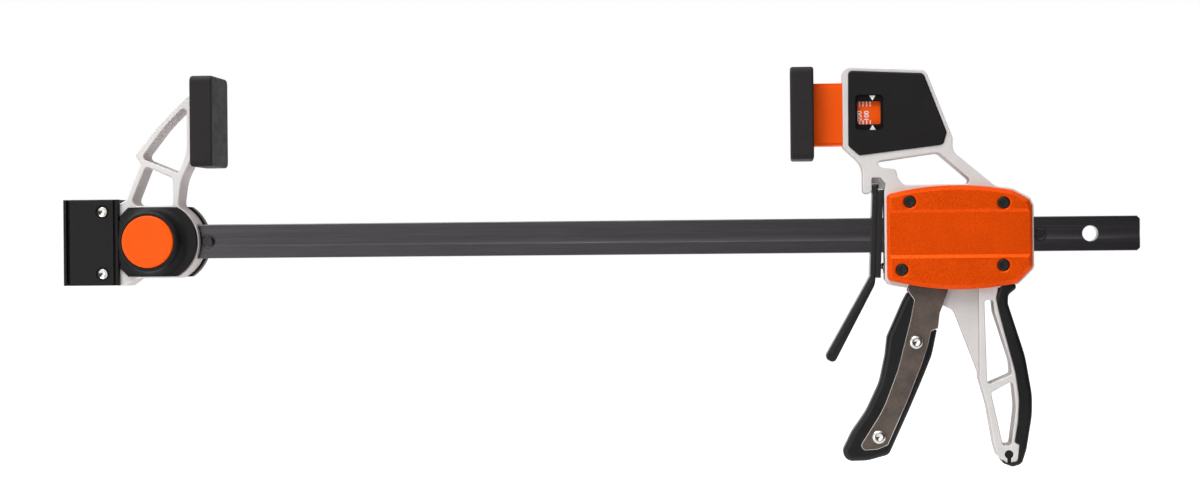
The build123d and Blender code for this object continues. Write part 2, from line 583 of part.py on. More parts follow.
def make_handle_grip():
    """Rubber back strip, which wraps the handle's foot and locks in its keyhole."""
    half = HEAD_HALF + HANDLE_GRIP_RISE
    outer = slab(handle_grip_profile(), -half, half)
    outer = fillet(rims(outer, -half) + rims(outer, half), HANDLE_GRIP_ROUND)
    room = handle_profile() + face([(-75.0, -18.0), (-48.0, -18.0), (-51.8, -34.0), (-45.6, -66.0),
                                    (-41.4, -88.0), (-42.0, -104.0), (-43.0, -113.6), (-75.0, -113.6)])
    grip = outer - slab(room, -20, 20)
    grip -= slab(head_profile(), -HEAD_HALF, HEAD_HALF)
    for side in (-1, 1):
        low, high = sorted((side * HEAD_HALF, side * 20))
        grip -= slab(cover_profile(0.2), low, high)
    neck = block(KEYHOLE[0] - 0.9, KEYHOLE[0] + 1.1, -HEAD_HALF, HEAD_HALF, -125.6, KEYHOLE[1])
    lobe = rod(*KEYHOLE, KEYHOLE_R, -HEAD_HALF, HEAD_HALF)
    return grip + neck + lobe


# ---- covers and panels -----------------------------------------------------------------------
def cover_profile(grow=0.0):
    g = grow
    return face([
        (-110.6 - g, 22.2 + g, 2.7), (-77.0, 29.6 + g, 150.0), (-42.7 + g, 23.9 + g, 2.7),
        (-33.9 + g, 19.0 + g, 2.7), (-32.1 + g, 15.4, 2.7), (-32.1 + g, -18.2, 4.0),
        (-40.4 + g, -26.8 - g, 6.0), (-76.0, -32.2 - g, 140.0), (-110.6 - g, -24.6 - g, 2.7),
    ])


def make_cover():
    """Front cover: bevelled rim, sunk band across the middle, hollow behind."""
    front = -HEAD_HALF - COVER_RISE
    cover = slab(cover_profile(), front, -HEAD_HALF)
    cover = chamfer(rims(cover, front), COVER_BEVEL)
    floor = front + BAND_SINK
    low, high = BAND_LOW - BAND_SLOPE, BAND_HIGH + BAND_SLOPE
    cover -= prism_x([(floor, BAND_LOW), (floor, BAND_HIGH), (front, high), (front - 1, high),
                      (front - 1, low), (front, low)], -130, -20)
    hollow = face([(-102.0, 14.0, 2.0), (-41.0, 14.0, 2.0), (-41.0, -12.6, 2.0), (-53.5, -12.6),
                   (-53.5, -23.0), (-97.0, -23.0), (-97.0, -14.0), (-102.0, -14.0, 2.0)])
    cover -= slab(hollow, front + 2.6, -HEAD_HALF + 1)
    cover -= rod(PIVOT_X, PIVOT_Z, PIVOT_R + 0.03, -HEAD_HALF - 2.0, -HEAD_HALF + 1)
    for x, z in SCREWS:
        cover -= rod(x, z, SCREW_SHANK_R + 0.1, front - 1, 0)
        bore_r = SCREW_HEAD_R + 0.15
        cover -= rod(x, z, bore_r, front - 1, front + 2.4)
        flare = Cone(bore_r, bore_r + SCREW_HOLE_FLARE + 0.2, SCREW_HOLE_FLARE + 0.2)
        cover -= Pos(x, front + SCREW_HOLE_FLARE / 2 - 0.1, z) * Rot(90, 0, 0) * flare
    return cover


def make_cover_screws(side):
    seat = side * (HEAD_HALF + COVER_RISE - 2.4)
    return [cross_screw(x, z, seat, side * 5.8, SCREW_HEAD_R, 1.9, SCREW_SHANK_R, side) for x, z in SCREWS]


def plain_panel(front):
    """Panel of the jaw box, its lower part leaning back from the crease."""
    panel = slab(panel_profile(0.05), front, -SLIDE_HALF)
    panel = chamfer(rims(panel, front), 0.7)
    lean = prism_x([(front, PANEL_CREASE), (front + PANEL_FALL, PANEL_LOW), (front - 1, PANEL_LOW),
                    (front - 1, PANEL_CREASE)], -140, -70)
    return panel - lean


def rounded_face(bounds, radius):
    x_low, x_high, z_low, z_high = bounds
    corners = [(x_low, z_low), (x_high, z_low), (x_high, z_high), (x_low, z_high)]
    return face([(x, z, radius) for x, z in corners])


def make_front_panel():
    """Black panel of the jaw box with the gauge's window."""
    front = -HEAD_HALF - PANEL_RISE
    panel = plain_panel(front)
    panel -= slab(rounded_face(WINDOW, WINDOW_R), front - 1, front + WINDOW_DEPTH)
    return panel - slab(rounded_face(OPENING, OPENING_R), front - 1, 0)


def make_rear_panel():
    return mirrored(plain_panel(-HEAD_HALF - PANEL_RISE))


# ---- pressure gauge --------------------------------------------------------------------------
def make_plunger():
    """Orange slide: carries the moving pad, pushed out by the gauge's spring."""
    pad_back = MOVING_FACE_X + PAD_THICK
    body = block(pad_back + 0.01, PLUNGER_BACK, -PLUNGER_HALF, PLUNGER_HALF, PLUNGER_LOW, PLUNGER_HIGH)
    for side in (-1, 1):
        low, high = sorted((side * (PLUNGER_HALF - 0.7), side * (PLUNGER_HALF + 1)))
        body -= block(-160, -90, low, high, PLUNGER_HIGH - 1.9, PLUNGER_HIGH + 1)
        body -= block(-160, -90, low, high, PLUNGER_LOW - 1, PLUNGER_LOW + 1.5)
    neck, flange = pad_flange(pad_back, -1)
    neck = neck & block(-170, pad_back + 0.02, -20, 20, 0, 100)
    body = body + neck + flange
    body -= rod_x(0, (PLUNGER_LOW + PLUNGER_HIGH) / 2, GAUGE_SPRING_R + 0.6, GAUGE_SPRING_BORE, -90)
    x_low, x_high, z_low, z_high = SCALE
    body -= block(x_low, x_high, -PLUNGER_HALF - 1, -PLUNGER_HALF + SCALE_THICK, z_low, z_high)
    slot_right = GAUGE_PIN_X + GAUGE_PIN_R + 0.3
    slot_left = GAUGE_PIN_X - GAUGE_PIN_R - 0.3 - PLUNGER_TRAVEL
    half = GAUGE_PIN_R + 0.3
    return body - block(slot_left, slot_right, -half, half, PLUNGER_LOW - 1, PLUNGER_LOW + 5.4)


def make_gauge_scale():
    x_low, x_high, z_low, z_high = SCALE
    return block(x_low + 0.05, x_high - 0.05, -PLUNGER_HALF, -PLUNGER_HALF + SCALE_THICK,
                 z_low + 0.05, z_high - 0.05)


def make_plunger_spring():
    wire = 1.3
    start, end = GAUGE_SPRING_BORE + wire, CAVITY_BACK - wire
    centre_z = (PLUNGER_LOW + PLUNGER_HIGH) / 2
    base = Plane(origin=(start, 0, centre_z), x_dir=(0, 1, 0), z_dir=(1, 0, 0))
    return coil(base, GAUGE_SPRING_R - wire, wire, end - start, 7)


def make_gauge_stop_pin():
    low, high = 43.0, PLUNGER_LOW + 5.0
    return Pos(GAUGE_PIN_X, 0, (low + high) / 2) * Cylinder(GAUGE_PIN_R - 0.01, high - low)


# ---- trigger ---------------------------------------------------------------------------------
def cheek_profile():
    return face([
        (-91.0, 21.2, 6.0), (-77.2, 21.2, 6.0), (-77.6, 6.0, 6.0), (-80.4, -9.4, 2.0),
        (-76.6, -11.2, 1.0), (-76.6, -15.0, 1.0), (-81.2, -16.6, 1.5), (-81.0, -24.6, 2.0),
        (-76.4, -28.6, 2.0), (-79.0, -35.6, 8.0), (-82.0, -43.0, 6.0), (-83.0, -51.4, 0.8),
        (-86.8, -52.8, 2.0), (-88.4, -60.0, 8.0), (-91.9, -70.6, 40.0), (-99.2, -89.2, 80.0),
        (-110.8, -115.2, 2.0), (-116.4, -117.6, 4.0), (-124.6, -118.2, 2.6),
        (-125.7, -114.9, 2.2), (-113.4, -95.6, 60.0), (-105.2, -73.8, 80.0), (-98.0, -46.0, 40.0),
        (-96.0, -35.6, 2.0), (-99.5, -30.6, 1.4), (-96.0, -22.0, 6.0), (-92.6, 2.0, 10.0),
    ])


def make_cheek(side):
    """Steel side plate of the trigger, with a bevelled outer edge."""
    low, high = sorted((side * CHEEK_IN, side * CHEEK_OUT))
    cheek = slab(cheek_profile(), low, high)
    cheek = chamfer(rims(cheek, side * CHEEK_OUT), 0.5)
    cheek -= rod(PIVOT_X, PIVOT_Z, PIVOT_R + 0.05, -20, 20)
    for x, z in RIVETS:
        cheek -= rod(x, z, RIVET_SHANK_R, -20, 20)
    return cheek


def core_profile():
    """Outline of the spacer between the cheeks, cut back from the handle's web."""
    return face([
        (-100.8, -54.0, 2.0), (-92.4, -54.0), (-92.4, -72.0, 4.0), (-99.0, -92.0, 20.0),
        (-110.6, -114.6, 2.0), (-123.4, -117.0, 1.0), (-124.6, -114.0, 1.0), (-112.4, -95.0, 40.0),
        (-104.6, -73.8, 60.0),
    ])


def make_trigger_core():
    core = slab(core_profile(), -CHEEK_IN + 0.01, CHEEK_IN - 0.01)
    for x, z in RIVETS:
        core -= rod(x, z, RIVET_SHANK_R, -20, 20)
    return core


def grip_profile():
    return face([
        (-99.4, -31.2, 1.7), (-102.2, -36.4, 4.0), (-110.8, -55.8, 3.5), (-112.0, -66.0, 10.0),
        (-115.2, -81.0, 30.0), (-122.8, -97.0, 40.0), (-130.4, -107.8, 20.0), (-138.6, -124.3, 5.2),
        (-122.0, -123.9, 20.0), (-110.2, -120.6, 4.5), (-98.9, -95.8, 80.0), (-90.6, -76.6, 60.0),
        (-86.3, -66.0, 30.0), (-83.4, -52.2), (-97.8, -50.0), (-95.6, -32.4),
    ])


def make_trigger_grip():
    """Rubber round the trigger: a thick front, a thin back edge and the foot."""
    grip = slab(grip_profile(), -GRIP_HALF, GRIP_HALF)
    outline = [edge for edge in rims(grip, -GRIP_HALF) + rims(grip, GRIP_HALF)
               if edge.center().X < -99 or edge.center().Z < -52]
    grip = fillet(outline, GRIP_ROUND)
    for side in (-1, 1):
        low, high = sorted((side * CHEEK_IN, side * 20))
        grip -= slab(cheek_profile(), low, high)
    grip -= slab(core_profile(), -CHEEK_IN, CHEEK_IN)
    web_room = face([(-92.4, -20.0), (-70.0, -20.0), (-70.0, -80.0), (-92.4, -80.0)])
    grip -= slab(web_room, -CHEEK_IN, CHEEK_IN)
    top_room = face([(-98.4, -20.0), (-70.0, -20.0), (-70.0, -54.0), (-98.4, -54.0)])
    grip -= slab(top_room, -CHEEK_IN, CHEEK_IN)
    for x, z in RIVETS:
        grip -= rod(x, z, RIVET_HEAD_R + 0.2, -20, 20)
    return grip


def make_trigger_rivets():
    rivets = []
    for x, z in RIVETS:
        rivet = rod(x, z, RIVET_SHANK_R, -CHEEK_OUT, CHEEK_OUT)
        for side in (-1, 1):
            low, high = sorted((side * CHEEK_OUT, side * (CHEEK_OUT + 1.5)))
            rivet += chamfer(rims(rod(x, z, RIVET_HEAD_R, low, high), side * (CHEEK_OUT + 1.5)), 0.8)
        rivets.append(rivet)
    return rivets


def make_trigger_pin():
    reach = HEAD_HALF + 1.9
    pin = rod(PIVOT_X, PIVOT_Z, PIVOT_R, -reach, reach)
    return chamfer(rims(pin, -reach) + rims(pin, reach), 0.4)


# ---- drive -----------------------------------------------------------------------------------
def holed_plate(x_low, x_high, half_width, z_low, z_high, clear):
    plate = block(x_low, x_high, -half_width, half_width, z_low, z_high)
    plate = fillet(plate.edges().filter_by(Axis.X), 1.5)
    wide, high = HALF_T + RUN_GAP, HALF_H + clear
    return plate - block(x_low - 1, x_high + 1, -wide, wide, -high, high)


def make_drive_plate(index):
    left = DRIVE_X + index * (DRIVE_PLATE + 0.02)
    return holed_plate(left, left + DRIVE_PLATE, 8.6, -20.4, 13.0, 0.4)


def make_drive_spring():
    wire = 0.8
    start = DRIVE_X + 2 * DRIVE_PLATE + 0.1 + wire
    end = -38.0 - wire
    base = Plane(origin=(start, 0, DRIVE_SPRING_Z), x_dir=(0, 1, 0), z_dir=(1, 0, 0))
    return coil(base, DRIVE_SPRING_R - wire, wire, end - start, 8)


# ---- release lever ---------------------------------------------------------------------------
def leaning(solid):
    """Turn a piece about the lever's fulcrum to the brake's resting lean."""
    fulcrum = Pos(LEVER_X, 0, LEVER_Z)
    return fulcrum * Rot(0, LEVER_LEAN, 0) * fulcrum.inverse() * solid


ALONG_ARM = Vector(-math.cos(ARM_DROP), 0, -math.sin(ARM_DROP))
ACROSS_ARM = Vector(math.sin(ARM_DROP), 0, -math.cos(ARM_DROP))


def arm_point(along, across, radius=0.0):
    """A corner of the lever's arm, from its inner bend: along it and across its depth."""
    point = Vector(LEVER_LEFT, 0, ARM_TOP) + ALONG_ARM * along + ACROSS_ARM * across
    return (point.X, point.Z, radius)


def arm_profile():
    """Side view of the lever's arm, which bends forward below the bar and deepens to its tip."""
    bend = (ACROSS_ARM.X * ARM_ROOT_DEPTH - LEVER_PLATE) / math.cos(ARM_DROP)
    return face([
        (LEVER_LEFT, ARM_TOP + 4.0), arm_point(0, 0, 0.8), arm_point(ARM_LENGTH, 0, 2.4),
        arm_point(ARM_LENGTH, ARM_TIP_DEPTH, 2.6), arm_point(bend, ARM_ROOT_DEPTH, ARM_BEND_R),
        (LEVER_LEFT + LEVER_PLATE, ARM_TOP + 4.0),
    ])


def along_arm(start, end, half_width, low, high):
    """A block in the arm's own directions; low and high are across its depth."""
    root = Vector(LEVER_LEFT, 0, ARM_TOP)
    middle = root + ALONG_ARM * ((start + end) / 2) + ACROSS_ARM * ((low + high) / 2)
    place = Plane(origin=middle, x_dir=ALONG_ARM, z_dir=ACROSS_ARM)
    return place * Box(end - start, 2 * half_width, high - low)


def make_release_lever():
    """Pressed steel lever: a plate round the bar, and a channel-shaped arm below it."""
    plate = block(LEVER_LEFT, LEVER_LEFT + LEVER_PLATE, -LEVER_HALF, LEVER_HALF, ARM_TOP + 1.0, 28.2)
    plate = fillet([e for e in plate.edges().filter_by(Axis.X) if e.center().Z > 0], 1.2)
    arm = slab(arm_profile(), -LEVER_HALF, LEVER_HALF)
    arm = chamfer(rims(arm, -LEVER_HALF) + rims(arm, LEVER_HALF), 0.5)
    arm -= along_arm(8.0, ARM_LENGTH - 4.0, LEVER_HALF - 2.4, 2.2, ARM_TIP_DEPTH + 1)
    bead = along_arm(2.0, ARM_LENGTH - 5.0, LEVER_HALF + ARM_BEAD_RISE, 1.7, 2.5)
    bead -= along_arm(0, ARM_LENGTH, LEVER_HALF - 1.0, 0, 6.0)
    lever = plate + arm + bead
    lever -= block(LEVER_LEFT - 2, LEVER_LEFT + 6, -HALF_T - 0.5, HALF_T + 0.5, -HALF_H - 0.9, HALF_H + 0.9)
    return leaning(lever)


def make_brake_plate():
    left = LEVER_LEFT + LEVER_PLATE + 0.02
    plate = block(left, left + BRAKE_PLATE, -LEVER_HALF, LEVER_HALF, -23.3, 25.2)
    plate = fillet(plate.edges().filter_by(Axis.X), 1.2)
    plate -= block(left - 1, left + 6, -HALF_T - 0.5, HALF_T + 0.5, -HALF_H - 0.9, HALF_H + 0.9)
    return leaning(plate)


def make_brake_spring():
    wire = 0.55
    start, end = -113.6 + wire, HOUSING_LEFT + 5.4 - wire
    base = Plane(origin=(start, 0, BRAKE_SPRING_Z), x_dir=(0, 1, 0), z_dir=(1, 0, 0))
    return coil(base, 2.8, wire, end - start, 3.5)


# ---- pieces ----------------------------------------------------------------------------------
def pieces():
    cover = make_cover()
    yield "bar", make_bar()
    yield "front_stop_pin", make_stop_pin(FRONT_STOP_X)
    yield "rear_stop_pin", make_stop_pin(REAR_STOP_X)
    yield "fixed_jaw_frame", make_fixed_jaw_frame()
    yield "fixed_pad", make_pad(FIXED_FACE_X, 1)
    yield "jaw_front_cover", make_jaw_front_cover()
    yield "jaw_rear_cover", make_jaw_rear_cover()
    yield "jaw_cover_screws", make_jaw_screws()
    yield "coupling_block", make_coupling_block()
    yield "coupling_rivets", make_coupling_rivets()
    yield "push_button", make_push_button()
    yield "lock_yoke", make_lock_yoke()
    yield "lock_pin", make_lock_pin()
    yield "button_spring", make_button_spring()
    yield "head_casting", make_head_casting()
    yield "front_cover", cover
    yield "rear_cover", mirrored(cover)
    yield "front_cover_screws", make_cover_screws(-1)
    yield "rear_cover_screws", make_cover_screws(1)
    yield "jaw_front_panel", make_front_panel()
    yield "jaw_rear_panel", make_rear_panel()
    yield "handle_grip", make_handle_grip()
    yield "plunger", make_plunger()
    yield "moving_pad", make_pad(MOVING_FACE_X, -1)
    yield "gauge_scale", make_gauge_scale()
    yield "plunger_spring", make_plunger_spring()
    yield "gauge_stop_pin", make_gauge_stop_pin()
    yield "trigger_pin", make_trigger_pin()
    yield "trigger_cheek_front", make_cheek(-1)
    yield "trigger_cheek_rear", make_cheek(1)
    yield "trigger_core", make_trigger_core()
    yield "trigger_grip", make_trigger_grip()
    yield "trigger_rivets", make_trigger_rivets()
    yield "drive_plate_1", make_drive_plate(0)
    yield "drive_plate_2", make_drive_plate(1)
    yield "drive_spring", make_drive_spring()
    yield "release_lever", make_release_lever()
    yield "brake_plate", make_brake_plate()
    yield "brake_spring", make_brake_spring()


def main():
    os.makedirs("parts", exist_ok=True)
    for node, shape in pieces():
        solids = shape if isinstance(shape, list) else [shape]
        solids = [solid for piece in solids for solid in piece.solids()]
        whole = solids[0] if len(solids) == 1 else Compound(children=solids)
        export_step(whole, os.path.join("parts", node + ".step"))


if __name__ == "__main__":
    main()
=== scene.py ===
import json
import math

import bmesh
import bpy
from mathutils import Matrix, Vector


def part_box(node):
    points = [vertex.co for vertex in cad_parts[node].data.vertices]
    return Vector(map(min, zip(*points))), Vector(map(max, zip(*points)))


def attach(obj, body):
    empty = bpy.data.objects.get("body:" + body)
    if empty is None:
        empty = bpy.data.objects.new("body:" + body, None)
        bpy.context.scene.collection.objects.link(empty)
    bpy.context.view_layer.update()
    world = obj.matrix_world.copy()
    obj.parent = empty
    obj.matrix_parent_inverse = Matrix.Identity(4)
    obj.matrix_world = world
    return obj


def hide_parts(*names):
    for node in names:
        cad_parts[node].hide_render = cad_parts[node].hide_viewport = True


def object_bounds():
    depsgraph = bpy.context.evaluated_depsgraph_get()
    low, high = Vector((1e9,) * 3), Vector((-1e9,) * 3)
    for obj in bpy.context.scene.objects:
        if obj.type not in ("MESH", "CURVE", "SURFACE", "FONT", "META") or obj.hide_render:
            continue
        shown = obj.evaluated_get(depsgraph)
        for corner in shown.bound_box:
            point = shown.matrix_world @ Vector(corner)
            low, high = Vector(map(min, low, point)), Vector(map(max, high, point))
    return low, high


bl_info = {
    "name": "Quick Release Bar Clamp",
    "version": (1, 0, 0),
    "blender": (4, 5, 0),
    "location": "View3D > Sidebar > Clamp",
    "description": "Finishes a one-handed bar clamp around its packed frame",
    "category": "Object",
}

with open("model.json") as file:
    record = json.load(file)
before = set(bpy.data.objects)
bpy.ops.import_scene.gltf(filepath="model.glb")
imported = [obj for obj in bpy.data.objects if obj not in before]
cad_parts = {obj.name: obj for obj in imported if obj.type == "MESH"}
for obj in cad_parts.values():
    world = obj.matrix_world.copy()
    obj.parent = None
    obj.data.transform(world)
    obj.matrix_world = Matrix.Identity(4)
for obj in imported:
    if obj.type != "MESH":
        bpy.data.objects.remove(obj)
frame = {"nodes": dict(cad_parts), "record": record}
cad_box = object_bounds()

MM = 0.001

# ---- measures of the looks -------------------------------------------------------------------
FLAT_ANGLE = math.radians(0.5)      # triangles that meet at less than this become one face
SHARP_ANGLE = math.radians(28)      # edges that turn by more than this are rounded
CRISP_ANGLE = math.radians(40)      # edges that turn by more than this aren't shaded smooth
CAD_MERGE = 0.002 * MM              # points of a frame mesh nearer than this are one
SPIN_MERGE = 0.001 * MM             # the same on a turned piece
LEVEL = 0.01 * MM                   # an edge that runs less than this along X is square to it
EDGE_STEPS = 2                      # faces across a softened edge
PAD_CORNER_STEPS, PAD_RIM_STEPS = 5, 3

# Recess round the gauge's window, drawn in painted shade: depths of its walls and floor, and its
# reach past the scale
RECESS_SHALLOW, RECESS_DEEP = 0.9 * MM, 2.0 * MM
RECESS_FLOOR = 1.3 * MM
RECESS_MARGIN = 4 * MM

# Push button: the rounding round its face, and its dish as shares of radius and depth
BUTTON_RIM = 0.9 * MM
BUTTON_DISH = 0.35 * MM
DISH_CURVE = ((0, 1), (0.45, 0.8), (0.8, 0.25))
RIM_STEPS, BUTTON_STEPS = 4, 96

# Coupling rivets: a dished head as radius and height over the block's face, in millimetres
TUBE_HEAD = ((0, -0.2), (0.8, -0.1), (1.5, 0.2), (2.0, 0.6), (2.3, 0.9), (2.55, 1.0), (2.8, 0.8))
TUBE_HEAD_RISE = 1.0 * MM
TUBE_HEAD_RIM = 0.3 * MM            # height of the head's outer edge
TUBE_HEAD_ROOT = 3.0 * MM           # how deep the head goes into the block
TUBE_SHANK_INSET = 2.0 * MM         # the shank's ends lie this far below the faces
TUBE_SHANK_FIT = 0.98               # the shank's radius as a share of the head's

# Trigger rivets: a domed head as radius in millimetres and share of the dome's height
DOMED_HEAD = ((0, 0.55), (0.9, 0.6), (1.4, 0.85), (1.8, 0.98), (2.3, 1), (2.9, 0.9), (3.4, 0.68),
              (3.75, 0.38), (3.95, 0.1), (3.95, 0), (0, 0))
RIVET_R = 4.0 * MM                  # of the frame's rivet heads
RIVET_SHANK_R = 2.3 * MM

# Gauge: the scale's zero at rest, the window's middle, and the print
GAUGE_ZERO_X, GAUGE_MIDDLE_Z = -117.0 * MM, 67.1 * MM
INK_FILM = 0.08 * MM                # how far the print stands out
TICKS = 7                           # two for each hundred
TICK_OUTER = 6.3 * MM               # from the middle to a tick's outer end
TICK_LOWER, TICK_UPPER = 2.3 * MM, 2.7 * MM
TICK_HALF = 0.3 * MM
TICK_MARGIN = 0.8 * MM              # no tick is nearer to the strip's end than this
HUNDREDS = (1, 2, 3, 4)
DIGIT_SIZE = 3.5 * MM
DIGIT_DROP = 1.6 * MM               # the digits stand below the middle
DIGIT_RAISE, DIGIT_WEIGHT = 0.04 * MM, 0.05 * MM
DIGIT_STRETCH = 1.08                # the gauge's digits are wider than the plain font
POINTER_X = -117.8 * MM
POINTER_TIP = 6.6 * MM              # from the middle to a pointer's tip
POINTER_HEIGHT, POINTER_THICK = 2.8 * MM, 0.15 * MM


# ---- helpers ---------------------------------------------------------------------------------
def linear(code):
    """An sRGB hex colour as linear red, green, blue and alpha."""
    channels = [int(code[i:i + 2], 16) / 255 for i in (0, 2, 4)]
    return [c / 12.92 if c <= 0.04045 else ((c + 0.055) / 1.055) ** 2.4 for c in channels] + [1.0]


def colour_property(name, code, description):
    return bpy.props.FloatVectorProperty(
        name=name, description=description, default=linear(code), size=4, min=0, max=1,
        subtype="COLOR")


def length_property(name, millimetres, description):
    return bpy.props.FloatProperty(
        name=name, description=description, default=millimetres * MM, min=0, precision=5,
        unit="LENGTH")


class ClampColours(bpy.types.PropertyGroup):
    """Colours of the clamp's finishes."""
    aluminium: colour_property("Aluminium faces", "DFDCDA", "Satin faces of the two castings")
    # The walls' colour is painted shade: faces turned across Y are drawn darker than the front
    # faces
    wall_shade: colour_property("Aluminium walls", "BEB4B3", "Walls of the castings, left as cast")
    anodised: colour_property("Anodised covers", "FC5000", "Bead-blasted orange covers")
    orange: colour_property("Orange plastic", "FC5C09", "Button of the lock")
    slide: colour_property("Orange slide", "FF5A04", "Gauge slide behind the moving pad")
    black: colour_property("Black plastic", "1B191A", "Panels and covers of moulded nylon")
    pad: colour_property("Pads", "2E2B2C", "Moulded clamping pads")
    rubber: colour_property("Rubber", "141415", "Grips of the trigger and handle")
    blued: colour_property("Blued steel", "4E4B4F", "Bar")
    browned: colour_property("Browned steel", "5F534C", "Side plates of the trigger")
    oxide: colour_property("Black oxide", "131212", "Lever, brake plate and screws")
    bright: colour_property("Bright steel", "D2CFCB", "Rivets and worn edges")
    # The window recess's colour is a painted shade: the panel's nylon drawn darker where little
    # light falls
    shadow: colour_property("Window recess", "0E0D0D", "Recess round the gauge's window")
    ink: colour_property("White ink", "F4F1EE", "Marks of the gauge")


class ClampSizes(bpy.types.PropertyGroup):
    """Small sizes that the looks add to the frame."""
    casting_edge: length_property("Casting edge", 0.16, "Softened edges of castings and mouldings")
    plate_edge: length_property("Plate edge", 0.12, "Softened edges of bar, plates and screws")
    rubber_edge: length_property("Rubber edge", 0.1, "Softened edges of the rubber")
    pad_corner: length_property("Pad corner", 3.6, "Radius of the pads' long corners")
    pad_rim: length_property("Pad rim", 1.3, "Rounding round the pads' faces")
    rivet_dome: length_property("Rivet dome", 1.5, "Height of the trigger rivets' heads")
    per_hundred: length_property("Scale pitch", 3.9, "Gauge slide's travel for each hundred")
    pointer_half: length_property("Pointer", 1.7, "Half the width of the gauge's pointers")
    arm_edge: length_property("Lever edge", 0.3, "Rolled edge of the release lever")


class ClampStudio(bpy.types.PropertyGroup):
    """Camera and light."""
    lens: bpy.props.FloatProperty(
        name="Focal length", description="Lens on a sensor 36 mm wide", default=70.26,
        min=10, unit="CAMERA")
    distance: length_property("Camera distance", 1300, "From the camera to the bar's middle plane")
    key_power: bpy.props.FloatProperty(
        name="Key light", description="Large soft light at the upper left", default=28.0,
        min=0, unit="POWER")
    low_power: bpy.props.FloatProperty(
        name="Low light", description="Wide soft light at the lower left", default=7.0,
        min=0, unit="POWER")
    top_power: bpy.props.FloatProperty(
        name="Top light", description="Soft light above, which picks out the upper edges",
        default=16.0, min=0, unit="POWER")
    ambient: bpy.props.FloatProperty(
        name="Ambient", description="Strength of the surrounding light", default=0.36,
        min=0, max=2, subtype="FACTOR")
    dark_side: bpy.props.FloatProperty(
        name="Dark side", description="Strength of the room behind the camera, in reflections",
        default=0.08, min=0, max=1, subtype="FACTOR")
    floor_front: length_property("Floor in front", 380, "Floor that lies before the clamp")
    near_glow: bpy.props.FloatProperty(
        name="Near floor glow", description="What the floor adds under the clamp",
        default=0.15, min=0, max=1, subtype="FACTOR")
    far_glow: bpy.props.FloatProperty(
        name="Far floor glow", description="What the floor adds behind, to read white",
        default=0.8, min=0, max=1, subtype="FACTOR")


# ---- materials -------------------------------------------------------------------------------
COARSE_GRAINS = 18                  # size of the coarse noise, in fine grains
FINE_DETAIL, FINE_ROUGHNESS = 3.0, 0.6
COARSE_DETAIL, COARSE_ROUGHNESS = 4.0, 0.65
TONE_LOW, TONE_HIGH = 0.36, 0.64    # noise values that give the darkest and lightest tone
GLOSS_LOW, GLOSS_HIGH = 0.3, 0.7    # noise values that give the least and most roughness
GRAIN_RELIEF = 0.5                  # height of a grain as a share of its size


def add(material, kind, settings=None, inputs=None):
    """Add one node; an input is a value, or another node's socket to link."""
    tree = material.node_tree
    node = tree.nodes.new(kind)
    for name, value in (settings or {}).items():
        setattr(node, name, value)
    for name, value in (inputs or {}).items():
        if isinstance(value, bpy.types.NodeSocket):
            tree.links.new(value, node.inputs[name])
        else:
            node.inputs[name].default_value = value
    return node


def finish(name, colour, roughness, metallic=0.0, grain_mm=0.5, mottle=0.12, bump=0.05,
           stretch=(1, 1, 1), specular=0.5, rough_spread=0.08, cloud=0.45):
    """A shader whose colour follows a fine and a coarse noise.

    The fine one also gives the height and the coarse one the roughness. grain_mm is the size of
    the fine grain; mottle is how far the colour strays from its mean; cloud is the coarse noise's
    share of it. The real grains are a tenth of a millimetre or less, too fine to show, so they
    are drawn several times as coarse.
    """
    material = bpy.data.materials.get(name) or bpy.data.materials.new(name)
    material.use_nodes = True
    material.node_tree.nodes.clear()
    place = add(material, "ShaderNodeTexCoord")
    mapped = add(material, "ShaderNodeMapping", inputs={
        "Vector": place.outputs["Object"], "Scale": stretch})
    fine = add(material, "ShaderNodeTexNoise", inputs={
        "Vector": mapped.outputs["Vector"], "Scale": 1 / (grain_mm * MM),
        "Detail": FINE_DETAIL, "Roughness": FINE_ROUGHNESS})
    coarse = add(material, "ShaderNodeTexNoise", inputs={
        "Vector": mapped.outputs["Vector"], "Scale": 1 / (COARSE_GRAINS * grain_mm * MM),
        "Detail": COARSE_DETAIL, "Roughness": COARSE_ROUGHNESS})
    both = add(material, "ShaderNodeMix", {"data_type": "FLOAT"}, {
        "Factor": cloud, "A": fine.outputs["Fac"], "B": coarse.outputs["Fac"]})
    darker = [channel * (1 - mottle) for channel in colour[:3]] + [1.0]
    lighter = [min(1.0, channel * (1 + mottle)) for channel in colour[:3]] + [1.0]
    tone = add(material, "ShaderNodeValToRGB", inputs={"Fac": both.outputs["Result"]})
    tone.color_ramp.elements[0].position = TONE_LOW
    tone.color_ramp.elements[0].color = darker
    tone.color_ramp.elements[1].position = TONE_HIGH
    tone.color_ramp.elements[1].color = lighter
    gloss = add(material, "ShaderNodeMapRange", inputs={
        "Value": coarse.outputs["Fac"], "From Min": GLOSS_LOW, "From Max": GLOSS_HIGH,
        "To Min": roughness - rough_spread, "To Max": roughness + rough_spread})
    height = add(material, "ShaderNodeBump", inputs={
        "Strength": bump, "Distance": grain_mm * MM * GRAIN_RELIEF,
        "Height": fine.outputs["Fac"]})
    shader = add(material, "ShaderNodeBsdfPrincipled", inputs={
        "Base Color": tone.outputs["Color"], "Roughness": gloss.outputs["Result"],
        "Metallic": metallic, "Specular IOR Level": specular,
        "Normal": height.outputs["Normal"]})
    add(material, "ShaderNodeOutputMaterial", inputs={"Surface": shader.outputs["BSDF"]})
    return material


def satin_aluminium(colours):
    """Die-cast aluminium with tumbled faces: pale, even, with a very fine grain."""
    return finish("satin_aluminium", colours.aluminium, roughness=0.5, metallic=0.15,
                  grain_mm=0.7, mottle=0.045, bump=0.12)


def as_cast_aluminium(colours):
    """The castings' walls: greyer and darker than the faces, which is painted shade, and duller."""
    return finish("as_cast_aluminium", colours.wall_shade, roughness=0.55, metallic=0.25,
                  grain_mm=0.8, mottle=0.08, bump=0.2)


